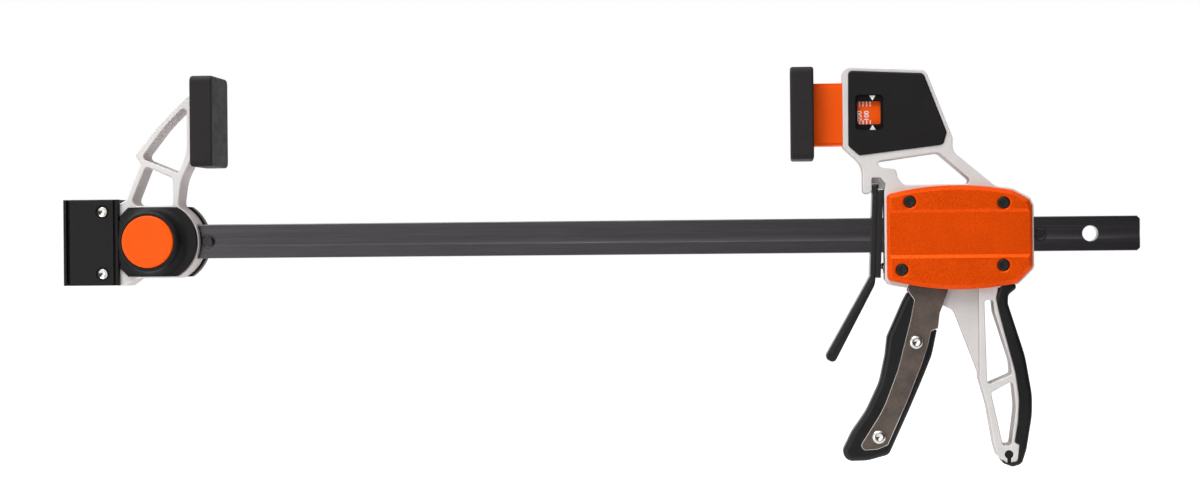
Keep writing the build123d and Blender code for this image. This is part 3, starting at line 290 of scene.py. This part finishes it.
def anodised_aluminium(colours):
    """Bead-blasted and anodised aluminium: a speckled metal colour that lights up on bevels."""
    return finish("anodised_aluminium", colours.anodised, roughness=0.34, metallic=0.45,
                  grain_mm=0.8, mottle=0.20, bump=0.3, specular=0.12, cloud=0.08)


def orange_plastic(colours):
    """Moulded ABS, smooth with a soft gloss."""
    return finish("orange_plastic", colours.orange, roughness=0.45, grain_mm=0.8, mottle=0.03,
                  bump=0.03, specular=0.15)


def slide_plastic(colours):
    """Moulded acetal of the gauge's slide: as smooth, in a slightly redder orange."""
    return finish("slide_plastic", colours.slide, roughness=0.45, grain_mm=0.8, mottle=0.04,
                  bump=0.03, specular=0.15)


def black_nylon(colours):
    """Glass-filled nylon with a spark-eroded texture, which breaks up its reflections."""
    return finish("black_nylon", colours.black, roughness=0.5, grain_mm=0.7, mottle=0.12,
                  bump=0.35, specular=0.16)


def recess_nylon(colours):
    """The same nylon in the gauge's recess, drawn darker: a painted shade where little light falls.
    """
    return finish("recess_nylon", colours.shadow, roughness=0.6, grain_mm=0.7, mottle=0.12,
                  bump=0.2, specular=0.1)


def pad_elastomer(colours):
    """Moulded thermoplastic elastomer: matt, slightly grey, with faint flow marks across it."""
    return finish("pad_elastomer", colours.pad, roughness=0.6, grain_mm=0.8, mottle=0.12,
                  bump=0.3, stretch=(1, 1, 2.5), specular=0.1)


def grip_rubber(colours):
    """Moulded rubber: near black, matt, with a skin that catches soft light."""
    return finish("grip_rubber", colours.rubber, roughness=0.38, grain_mm=0.8, mottle=0.12,
                  bump=0.25, specular=0.28)


def blued_steel(colours):
    """Drawn and blued bar steel: dark, with fine streaks along its length."""
    return finish("blued_steel", colours.blued, roughness=0.24, metallic=1.0, grain_mm=0.5,
                  mottle=0.16, bump=0.10, stretch=(0.02, 1, 1), rough_spread=0.05)


def browned_steel(colours):
    """Browned sheet steel: cloudy darker and lighter brown patches over a satin grain."""
    return finish("browned_steel", colours.browned, roughness=0.46, metallic=0.4, grain_mm=0.6,
                  mottle=0.32, bump=0.15, cloud=0.6)


def black_oxide(colours):
    """Oiled black oxide on steel: near black, with the oil's gloss."""
    return finish("black_oxide", colours.oxide, roughness=0.26, grain_mm=0.6, mottle=0.16,
                  bump=0.08, rough_spread=0.05)


def bright_steel(colours):
    """Polished steel of rivets, springs and worn edges: mirrors the light and the dim room."""
    return finish("bright_steel", colours.bright, roughness=0.2, metallic=1.0, grain_mm=0.5,
                  mottle=0.06, bump=0.04)


def ground_steel(colours):
    """Hardened and ground steel of the parts inside: duller than polished, and brownish."""
    return finish("ground_steel", colours.browned, roughness=0.35, metallic=1.0, grain_mm=0.3,
                  mottle=0.10, bump=0.1)


def white_ink(colours):
    """Pad-printed ink: an even off-white."""
    return finish("white_ink", colours.ink, roughness=0.5, grain_mm=0.3, mottle=0.03, bump=0.05)


# ---- meshes ----------------------------------------------------------------------------------
def show(piece_name, shape, body, materials, replaces=()):
    """Put a finished bmesh into the scene as a piece that rides on its body."""
    mesh = bpy.data.meshes.new(piece_name)
    shape.to_mesh(mesh)
    shape.free()
    for material in materials:
        mesh.materials.append(material)
    mesh.shade_smooth()
    mesh.set_sharp_from_angle(angle=CRISP_ANGLE)
    piece = bpy.data.objects.new(piece_name, mesh)
    bpy.context.scene.collection.objects.link(piece)
    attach(piece, body)
    if replaces:
        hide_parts(*replaces)
    return piece


def body_of(node):
    for body, members in frame["record"]["behaviour"]["bodies"].items():
        if node in members:
            return body
    raise ValueError(f"no body holds {node}")


def round_edges(shape, edges, width, steps):
    """Give some edges a round section."""
    bmesh.ops.bevel(shape, geom=edges, offset=width, offset_type="OFFSET", affect="EDGES",
                    segments=steps, profile=0.5, material=-1, clamp_overlap=False)


def weigh_normals(piece):
    """Keep wide faces flat in the shading, so that only the rounded edges turn the light."""
    piece.modifiers.new("face_weighted", "WEIGHTED_NORMAL").keep_sharp = True


def softened(node, piece_name, width, materials, walls=None, wall_lean=0.5):
    """The node's own shape with its sharp edges rounded.

    walls is the finish of the faces whose normal has less than wall_lean of its length along Y.
    """
    shape = bmesh.new()
    shape.from_mesh(frame["nodes"][node].data)
    bmesh.ops.remove_doubles(shape, verts=shape.verts, dist=CAD_MERGE)
    bmesh.ops.dissolve_limit(shape, angle_limit=FLAT_ANGLE, verts=shape.verts,
                             edges=shape.edges, delimit={"NORMAL"})
    sharp = [edge for edge in shape.edges
             if len(edge.link_faces) == 2 and edge.calc_face_angle(0) > SHARP_ANGLE]
    if width:
        round_edges(shape, sharp, width, EDGE_STEPS)
    for face in shape.faces:
        face.material_index = 0
        if walls and abs(face.normal.y) < wall_lean:
            face.material_index = 1
    piece = show(piece_name, shape, body_of(node),
                 materials + ([walls] if walls else []), (node,))
    weigh_normals(piece)
    return piece


def turned(profile, centre, side, steps=48):
    """A solid of revolution about Y from (radius, height) pairs; side -1 stands out along -Y."""
    shape = bmesh.new()
    ring = [shape.verts.new((radius, side * height, 0)) for radius, height in profile]
    edges = [shape.edges.new(pair) for pair in zip(ring, ring[1:])]
    bmesh.ops.spin(shape, geom=ring + edges, cent=(0, 0, 0), axis=(0, 1, 0),
                   angle=math.tau, steps=steps, use_merge=True)
    bmesh.ops.remove_doubles(shape, verts=shape.verts, dist=SPIN_MERGE)
    bmesh.ops.translate(shape, verts=shape.verts, vec=centre)
    bmesh.ops.recalc_face_normals(shape, faces=shape.faces)
    return shape


def shank(radius, length, front):
    """A rivet's plain rod, which runs from a point towards -Y."""
    return turned([(0, 0), (radius, 0), (radius, length), (0, length)], front, -1)


def merged(shapes):
    """Several bmeshes as one."""
    whole = bmesh.new()
    for shape in shapes:
        part = bpy.data.meshes.new("part")
        shape.to_mesh(part)
        shape.free()
        whole.from_mesh(part)
        bpy.data.meshes.remove(part)
    return whole


def brick(low, high):
    """A box between two corners."""
    shape = bmesh.new()
    bmesh.ops.create_cube(shape, size=1.0)
    low, high = Vector(low), Vector(high)
    bmesh.ops.scale(shape, verts=shape.verts, vec=high - low)
    bmesh.ops.translate(shape, verts=shape.verts, vec=(low + high) / 2)
    return shape


def reach_x(edge):
    """How far an edge runs along X."""
    return abs((edge.verts[0].co - edge.verts[1].co).x)


def paint(node, material):
    """Give a CAD node's own object a finish."""
    piece = frame["nodes"][node]
    piece.data.materials.clear()
    piece.data.materials.append(material)


# ---- pieces ----------------------------------------------------------------------------------
class CLAMP_OT_bar(bpy.types.Operator):
    """Blued bar and its two stop pins"""
    bl_idname = "clamp.bar"
    bl_label = "Bar"

    def execute(self, context):
        scene = context.scene
        steel = blued_steel(scene.clamp_colours)
        softened("bar", "bar_steel", scene.clamp_sizes.plate_edge, [steel])
        for node in ("front_stop_pin", "rear_stop_pin"):
            paint(node, black_oxide(scene.clamp_colours))
        return {"FINISHED"}


class CLAMP_OT_castings(bpy.types.Operator):
    """Fixed jaw frame and head casting, with satin faces and walls painted darker as shade"""
    bl_idname = "clamp.castings"
    bl_label = "Castings"

    def execute(self, context):
        scene = context.scene
        faces = satin_aluminium(scene.clamp_colours)
        # Faces turned across Y get the darker colour, a painted shade
        walls = as_cast_aluminium(scene.clamp_colours)
        edge = scene.clamp_sizes.casting_edge
        softened("fixed_jaw_frame", "jaw_casting", edge, [faces], walls)
        softened("head_casting", "head_and_handle", edge, [faces], walls)
        return {"FINISHED"}


class CLAMP_OT_covers(bpy.types.Operator):
    """Anodised covers of the head and black panels of the jaw box"""
    bl_idname = "clamp.covers"
    bl_label = "Covers and panels"

    def execute(self, context):
        scene = context.scene
        edge = scene.clamp_sizes.casting_edge
        orange = anodised_aluminium(scene.clamp_colours)
        black = black_nylon(scene.clamp_colours)
        for node in ("front_cover", "rear_cover"):
            softened(node, node + "_shell", edge, [orange])
        softened("jaw_rear_panel", "jaw_rear_panel_shell", edge, [black])
        panel = softened("jaw_front_panel", "jaw_front_panel_shell", edge,
                         [black, recess_nylon(scene.clamp_colours)])
        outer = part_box("jaw_front_panel")[0].y
        scale_low, scale_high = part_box("gauge_scale")
        # Faces sunk in the recess round the window get the darker colour, a painted shade
        for face in panel.data.polygons:
            sunk_in_shade = outer + RECESS_SHALLOW < face.center.y < outer + RECESS_DEEP
            if sunk_in_shade and scale_low.z - RECESS_MARGIN < face.center.z < scale_high.z + RECESS_MARGIN:
                face.material_index = 1
        return {"FINISHED"}


class CLAMP_OT_lock(bpy.types.Operator):
    """Collar, rear cover and push button of the fixed jaw's lock"""
    bl_idname = "clamp.lock"
    bl_label = "Lock and button"

    def execute(self, context):
        scene = context.scene
        edge = scene.clamp_sizes.casting_edge
        black = black_nylon(scene.clamp_colours)
        softened("jaw_front_cover", "collar_cover", edge, [black])
        softened("jaw_rear_cover", "rear_lock_cover", edge, [black])
        low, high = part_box("push_button")
        radius = (high.x - low.x) / 2
        deep = high.y - low.y
        flat, shoulder = radius - BUTTON_RIM, deep - BUTTON_RIM
        profile = [(radius * out, deep - BUTTON_DISH * down) for out, down in DISH_CURVE]
        profile.append((flat, deep))
        for step in range(1, RIM_STEPS + 1):
            turn = step / RIM_STEPS * math.pi / 2
            profile.append((flat + BUTTON_RIM * math.sin(turn),
                            shoulder + BUTTON_RIM * math.cos(turn)))
        profile += [(radius, 0), (0, 0)]
        centre = ((low.x + high.x) / 2, high.y, (low.z + high.z) / 2)
        show("button_cap", turned(profile, centre, -1, BUTTON_STEPS), "lock_button",
             [orange_plastic(scene.clamp_colours)], ("push_button",))
        return {"FINISHED"}


class CLAMP_OT_coupling(bpy.types.Operator):
    """Black coupling block with its two dished rivets"""
    bl_idname = "clamp.coupling"
    bl_label = "Coupling block"

    def execute(self, context):
        scene = context.scene
        softened("coupling_block", "coupling_rail_block", scene.clamp_sizes.casting_edge,
                 [black_nylon(scene.clamp_colours)])
        low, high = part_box("coupling_rivets")
        radius = (high.x - low.x) / 2
        face = high.y - TUBE_HEAD_RISE
        profile = [(out * MM, up * MM) for out, up in TUBE_HEAD]
        profile += [(radius, TUBE_HEAD_RIM), (radius, -TUBE_HEAD_ROOT), (0, -TUBE_HEAD_ROOT)]
        rivets = []
        for z in (low.z + radius, high.z - radius):
            for side in (-1, 1):
                rivets.append(turned(profile, (low.x + radius, side * face, z), side))
            rivets.append(shank(radius * TUBE_SHANK_FIT, 2 * face - 2 * TUBE_SHANK_INSET,
                                (low.x + radius, face - TUBE_SHANK_INSET, z)))
        show("coupling_rivet_heads", merged(rivets), "bar_and_fixed_jaw",
             [bright_steel(scene.clamp_colours)], ("coupling_rivets",))
        return {"FINISHED"}


class CLAMP_OT_pads(bpy.types.Operator):
    """The two moulded clamping pads"""
    bl_idname = "clamp.pads"
    bl_label = "Pads"

    def execute(self, context):
        scene = context.scene
        sizes = scene.clamp_sizes
        for node in ("fixed_pad", "moving_pad"):
            low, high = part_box(node)
            shape = brick(low, high)
            corners = [edge for edge in shape.edges if reach_x(edge) > LEVEL]
            round_edges(shape, corners, sizes.pad_corner, PAD_CORNER_STEPS)
            rims = [edge for edge in shape.edges if reach_x(edge) < LEVEL]
            round_edges(shape, rims, sizes.pad_rim, PAD_RIM_STEPS)
            weigh_normals(show(node + "_moulding", shape, body_of(node),
                               [pad_elastomer(scene.clamp_colours)], (node,)))
        return {"FINISHED"}


class CLAMP_OT_gauge(bpy.types.Operator):
    """Orange slide with the printed scale, and the pointers beside the window"""
    bl_idname = "clamp.gauge"
    bl_label = "Pressure gauge"

    def execute(self, context):
        scene = context.scene
        colours = scene.clamp_colours
        orange = slide_plastic(colours)
        ink = white_ink(colours)
        softened("plunger", "gauge_slide", scene.clamp_sizes.casting_edge, [orange])
        paint("gauge_scale", orange)
        low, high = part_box("gauge_scale")
        front, back = low.y - INK_FILM, low.y + INK_FILM
        sizes = scene.clamp_sizes
        marks = []
        for count in range(1, TICKS + 1):
            x = GAUGE_ZERO_X - count * sizes.per_hundred / 2
            if x < low.x + TICK_MARGIN:
                continue
            for side, reach in ((-1, TICK_LOWER), (1, TICK_UPPER)):
                ends = sorted((GAUGE_MIDDLE_Z + side * TICK_OUTER,
                               GAUGE_MIDDLE_Z + side * (TICK_OUTER - reach)))
                marks.append(brick((x - TICK_HALF, front, ends[0]), (x + TICK_HALF, back, ends[1])))
        for count in HUNDREDS:
            marks.append(lettering(str(100 * count), DIGIT_SIZE,
                                   GAUGE_ZERO_X - count * sizes.per_hundred, front,
                                   GAUGE_MIDDLE_Z - DIGIT_DROP))
        show("gauge_marks", merged(marks), "gauge_plunger", [ink])
        pointers = []
        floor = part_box("jaw_front_panel")[0].y + RECESS_FLOOR
        for side in (-1, 1):
            pointers.append(wedge(POINTER_X, floor, GAUGE_MIDDLE_Z + side * POINTER_TIP,
                                  side * POINTER_HEIGHT, sizes.pointer_half))
        show("gauge_pointers", merged(pointers), "sliding_head", [ink])
        return {"FINISHED"}


def lettering(text, height, x, y, z):
    """Plain digits, turned to read upwards, facing -Y."""
    curve = bpy.data.curves.new("digits", "FONT")
    curve.body = text
    curve.size = height
    curve.align_x = "CENTER"
    curve.align_y = "CENTER"
    curve.extrude = DIGIT_RAISE
    curve.offset = DIGIT_WEIGHT
    holder = bpy.data.objects.new("digits", curve)
    bpy.context.scene.collection.objects.link(holder)
    bpy.context.view_layer.update()
    mesh = bpy.data.meshes.new_from_object(holder)
    bpy.data.objects.remove(holder)
    shape = bmesh.new()
    shape.from_mesh(mesh)
    bpy.data.meshes.remove(mesh)
    wide = Matrix.Diagonal((DIGIT_STRETCH, 1.0, 1.0, 1.0))
    upright = Matrix.Rotation(math.pi / 2, 4, "X")
    sideways = Matrix.Rotation(-math.pi / 2, 4, "Y")
    place = Matrix.Translation((x, y, z))
    bmesh.ops.transform(shape, matrix=place @ sideways @ upright @ wide, verts=shape.verts)
    return shape


def wedge(x, y, tip_z, height, half_width):
    """A flat triangle that points along Z at tip_z; height is its signed rise from the tip."""
    shape = bmesh.new()
    corners = [(x, y, tip_z), (x - half_width, y, tip_z + height),
               (x + half_width, y, tip_z + height)]
    bottom = shape.faces.new([shape.verts.new(corner) for corner in corners])
    raised = bmesh.ops.extrude_face_region(shape, geom=[bottom])
    tops = [item for item in raised["geom"] if isinstance(item, bmesh.types.BMVert)]
    bmesh.ops.translate(shape, verts=tops, vec=(0, -POINTER_THICK, 0))
    bmesh.ops.recalc_face_normals(shape, faces=shape.faces)
    return shape


class CLAMP_OT_trigger(bpy.types.Operator):
    """Browned side plates with their bright edges, and the domed rivets"""
    bl_idname = "clamp.trigger"
    bl_label = "Trigger"

    def execute(self, context):
        scene = context.scene
        colours = scene.clamp_colours
        sizes = scene.clamp_sizes
        brown = browned_steel(colours)
        bright = bright_steel(colours)
        for node in ("trigger_cheek_front", "trigger_cheek_rear"):
            softened(node, node + "_plate", sizes.plate_edge, [brown], bright, wall_lean=0.8)
        low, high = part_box("trigger_rivets")
        face = high.y - sizes.rivet_dome
        profile = [(out * MM, sizes.rivet_dome * up) for out, up in DOMED_HEAD]
        rivets = []
        for x, z in ((low.x + RIVET_R, low.z + RIVET_R), (high.x - RIVET_R, high.z - RIVET_R)):
            for side in (-1, 1):
                rivets.append(turned(profile, (x, side * face, z), side))
            rivets.append(shank(RIVET_SHANK_R, 2 * face, (x, face, z)))
        show("trigger_rivet_heads", merged(rivets), "trigger", [bright],
             ("trigger_rivets",))
        return {"FINISHED"}


class CLAMP_OT_grips(bpy.types.Operator):
    """Rubber of the trigger and of the rear handle"""
    bl_idname = "clamp.grips"
    bl_label = "Rubber grips"

    def execute(self, context):
        scene = context.scene
        rubber = grip_rubber(scene.clamp_colours)
        edge = scene.clamp_sizes.rubber_edge
        softened("trigger_grip", "trigger_rubber", edge, [rubber])
        softened("handle_grip", "handle_rubber", edge, [rubber])
        return {"FINISHED"}


class CLAMP_OT_lever(bpy.types.Operator):
    """Release lever and brake plate"""
    bl_idname = "clamp.lever"
    bl_label = "Release lever"

    def execute(self, context):
        scene = context.scene
        oxide = black_oxide(scene.clamp_colours)
        sizes = scene.clamp_sizes
        softened("release_lever", "release_lever_steel", sizes.arm_edge, [oxide])
        softened("brake_plate", "brake_plate_steel", sizes.plate_edge, [oxide])
        return {"FINISHED"}


class CLAMP_OT_works(bpy.types.Operator):
    """Screws, pins, springs and plates, which keep their frame shapes"""
    bl_idname = "clamp.works"
    bl_label = "Screws and works"

    def execute(self, context):
        colours = context.scene.clamp_colours
        oxide = black_oxide(colours)
        for node in ("front_cover_screws", "rear_cover_screws"):
            softened(node, node + "_steel", context.scene.clamp_sizes.plate_edge, [oxide])
        paint("jaw_cover_screws", oxide)
        for node in ("lock_yoke", "lock_pin", "gauge_stop_pin", "trigger_pin", "drive_plate_1",
                     "drive_plate_2"):
            paint(node, ground_steel(colours))
        for node in ("button_spring", "plunger_spring", "drive_spring", "brake_spring"):
            paint(node, bright_steel(colours))
        paint("trigger_core", black_nylon(colours))
        return {"FINISHED"}


# ---- stage -----------------------------------------------------------------------------------
# Lengths are in metres. A lamp has its name, its power's property, its width and its place from
# the clamp's middle.
LAMPS = (("key_light", "key_power", 1.2, (-0.45, -1.25, 1.6)),
         ("low_light", "low_power", 1.2, (-1.4, -1.75, -0.2)),
         ("top_light", "top_power", 0.9, (-0.65, 0.2, 1.3)))
CAMERA_X, CAMERA_Z = -166.56 * MM, -5.35 * MM
CAMERA_YAW, CAMERA_ROLL = math.radians(4.5), 0.0089
SENSOR_MM = 36.0
FLOOR_HALF = 8.0                    # half the floor's width and depth
FLOOR_DROP = 130 * MM               # from the clamp's lowest point down to the floor
FLOOR_WHITE = "F8F8F8"
GLOW_BACK = (0.3, 1.1)              # along Y behind, where the floor's glow starts and is full
GLOW_FRONT = -0.12                  # along Y in front, where it starts
GLOW_FRONT_FULL = 0.95              # it is full at this share of the floor in front
GLOW_SIDE = 0.6                     # past the clamp's ends, where it is full
GLOW_SIDE_START = 0.6               # it starts at this share of the way there from X = 0
ROOM_AXIS = (-0.87, 0.45, 0.15)     # points to the white part of the room, left and behind
ROOM_DIM, ROOM_WHITE = -0.6, -0.38  # along it, where the room is last dim and first white


def area_light(name, power, size, place, target):
    """A square lamp that faces a point."""
    lamp = bpy.data.lights.new(name, "AREA")
    lamp.shape = "SQUARE"
    lamp.size = size
    lamp.energy = power
    holder = bpy.data.objects.new(name, lamp)
    bpy.context.scene.collection.objects.link(holder)
    toward = Vector(target) - Vector(place)
    turn = toward.to_track_quat("-Z", "Y").to_matrix().to_4x4()
    holder.matrix_world = Matrix.Translation(place) @ turn


def mirror_share(material, path):
    """1 on rays that leave a gloss or pass through glass."""
    return add(material, "ShaderNodeMath", {"operation": "MAXIMUM"}, {
        0: path.outputs["Is Glossy Ray"], 1: path.outputs["Is Transmission Ray"]}).outputs["Value"]


def make_world(studio):
    """White to the camera; in reflections white behind the clamp and dim behind the camera."""
    world = bpy.data.worlds.new("studio")
    world.use_nodes = True
    world.node_tree.nodes.clear()
    path = add(world, "ShaderNodeLightPath")
    place = add(world, "ShaderNodeTexCoord")
    side = add(world, "ShaderNodeVectorMath", {"operation": "DOT_PRODUCT"}, {
        0: place.outputs["Generated"], 1: ROOM_AXIS})
    room = add(world, "ShaderNodeMapRange", {"interpolation_type": "SMOOTHSTEP"}, {
        "Value": side.outputs["Value"], "From Min": ROOM_DIM, "From Max": ROOM_WHITE,
        "To Min": studio.dark_side, "To Max": 1.0})
    lit = add(world, "ShaderNodeMix", {"data_type": "FLOAT"}, {
        "Factor": mirror_share(world, path), "A": studio.ambient, "B": room.outputs["Result"]})
    seen = add(world, "ShaderNodeMix", {"data_type": "FLOAT"}, {
        "Factor": path.outputs["Is Camera Ray"], "A": lit.outputs["Result"], "B": 1.0})
    glow = add(world, "ShaderNodeBackground", inputs={
        "Color": (1, 1, 1, 1), "Strength": seen.outputs["Result"]})
    add(world, "ShaderNodeOutputWorld", inputs={"Surface": glow.outputs["Background"]})
    return world


def floor_paint(studio):
    """Matt white paint that reads white to the camera and keeps the clamp's shadow."""
    material = finish("floor_paint", linear(FLOOR_WHITE), roughness=0.8, grain_mm=4.0,
                      mottle=0.005, bump=0.0)
    path = add(material, "ShaderNodeLightPath")
    place = add(material, "ShaderNodeTexCoord")
    spot = add(material, "ShaderNodeSeparateXYZ", inputs={"Vector": place.outputs["Object"]})

    def rise(axis, start, end):
        """How much the floor adds, rising from start to end along an axis."""
        return add(material, "ShaderNodeMapRange", {"interpolation_type": "SMOOTHSTEP"}, {
            "Value": spot.outputs[axis], "From Min": start, "From Max": end,
            "To Min": studio.near_glow, "To Max": studio.far_glow}).outputs["Result"]

    def combine(operation, first, second):
        """One value from two."""
        return add(material, "ShaderNodeMath", {"operation": operation}, {
            0: first, 1: second}).outputs["Value"]

    behind = rise("Y", *GLOW_BACK)
    round_it = combine("MAXIMUM", behind,
                       rise("Y", GLOW_FRONT, -studio.floor_front * GLOW_FRONT_FULL))
    for end in (cad_box[0][0] - GLOW_SIDE, cad_box[1][0] + GLOW_SIDE):
        round_it = combine("MAXIMUM", round_it, rise("X", end * GLOW_SIDE_START, end))
    strength = combine(
        "MAXIMUM", combine("MULTIPLY", path.outputs["Is Camera Ray"], round_it),
        combine("MULTIPLY", mirror_share(material, path), behind))
    glow = add(material, "ShaderNodeEmission", inputs={
        "Color": (1, 1, 1, 1), "Strength": strength})
    nodes = material.node_tree.nodes
    output = next(node for node in nodes if node.type == "OUTPUT_MATERIAL")
    shader = next(node for node in nodes if node.type == "BSDF_PRINCIPLED")
    both = add(material, "ShaderNodeAddShader", inputs={
        0: shader.outputs["BSDF"], 1: glow.outputs["Emission"]})
    material.node_tree.links.new(both.outputs["Shader"], output.inputs["Surface"])
    return material


class CLAMP_OT_stage(bpy.types.Operator):
    """Pale floor, white surroundings, soft lights and the camera"""
    bl_idname = "clamp.stage"
    bl_label = "Stage"

    def execute(self, context):
        scene = context.scene
        studio = scene.clamp_studio
        scene.view_settings.view_transform = "Standard"
        scene.world = make_world(studio)

        middle = (cad_box[0][0] + cad_box[1][0]) / 2
        floor_z = cad_box[0][2] - FLOOR_DROP
        shape = bmesh.new()
        bmesh.ops.create_grid(shape, x_segments=1, y_segments=1, size=FLOOR_HALF)
        bmesh.ops.translate(shape, verts=shape.verts,
                            vec=(middle, FLOOR_HALF - studio.floor_front, floor_z))
        mesh = bpy.data.meshes.new("floor")
        shape.to_mesh(mesh)
        shape.free()
        floor = bpy.data.objects.new("floor", mesh)
        scene.collection.objects.link(floor)
        mesh.materials.append(floor_paint(studio))

        for name, power, width, (along, across, up) in LAMPS:
            area_light(name, getattr(studio, power), width, (middle + along, across, up),
                       (middle, 0, 0))

        camera = bpy.data.cameras.new("camera")
        camera.lens = studio.lens
        camera.sensor_width = SENSOR_MM
        camera.dof.use_dof = False
        holder = bpy.data.objects.new("camera", camera)
        scene.collection.objects.link(holder)
        place = Matrix.Translation((CAMERA_X, -studio.distance, CAMERA_Z))
        turn = Matrix.Rotation(CAMERA_YAW, 4, "Z") @ Matrix.Rotation(math.pi / 2, 4, "X")
        holder.matrix_world = place @ turn @ Matrix.Rotation(-CAMERA_ROLL, 4, "Z")
        scene.camera = holder
        return {"FINISHED"}


class CLAMP_PT_panel(bpy.types.Panel):
    """Sidebar panel that lists the pieces"""
    bl_idname = "CLAMP_PT_panel"
    bl_label = "Quick Release Bar Clamp"
    bl_space_type = "VIEW_3D"
    bl_region_type = "UI"
    bl_category = "Clamp"

    def draw(self, context):
        for piece in PIECES:
            self.layout.operator(piece.bl_idname)
        for group in (context.scene.clamp_colours, context.scene.clamp_sizes,
                      context.scene.clamp_studio):
            box = self.layout.box()
            for name in group.__annotations__:
                box.prop(group, name)


PIECES = (CLAMP_OT_stage, CLAMP_OT_bar, CLAMP_OT_castings, CLAMP_OT_covers, CLAMP_OT_lock,
          CLAMP_OT_coupling, CLAMP_OT_pads, CLAMP_OT_gauge, CLAMP_OT_trigger, CLAMP_OT_grips,
          CLAMP_OT_lever, CLAMP_OT_works)
GROUPS = {"clamp_colours": ClampColours, "clamp_sizes": ClampSizes, "clamp_studio": ClampStudio}


def register():
    for cls in (*GROUPS.values(), *PIECES, CLAMP_PT_panel):
        bpy.utils.register_class(cls)
    for name, cls in GROUPS.items():
        setattr(bpy.types.Scene, name, bpy.props.PointerProperty(type=cls))


def unregister():
    for name in GROUPS:
        delattr(bpy.types.Scene, name)
    for cls in reversed((*GROUPS.values(), *PIECES, CLAMP_PT_panel)):
        bpy.utils.unregister_class(cls)


def main():
    register()
    for piece in PIECES:
        area, name = piece.bl_idname.split(".")
        getattr(getattr(bpy.ops, area), name)()


if __name__ == "__main__":
    main()
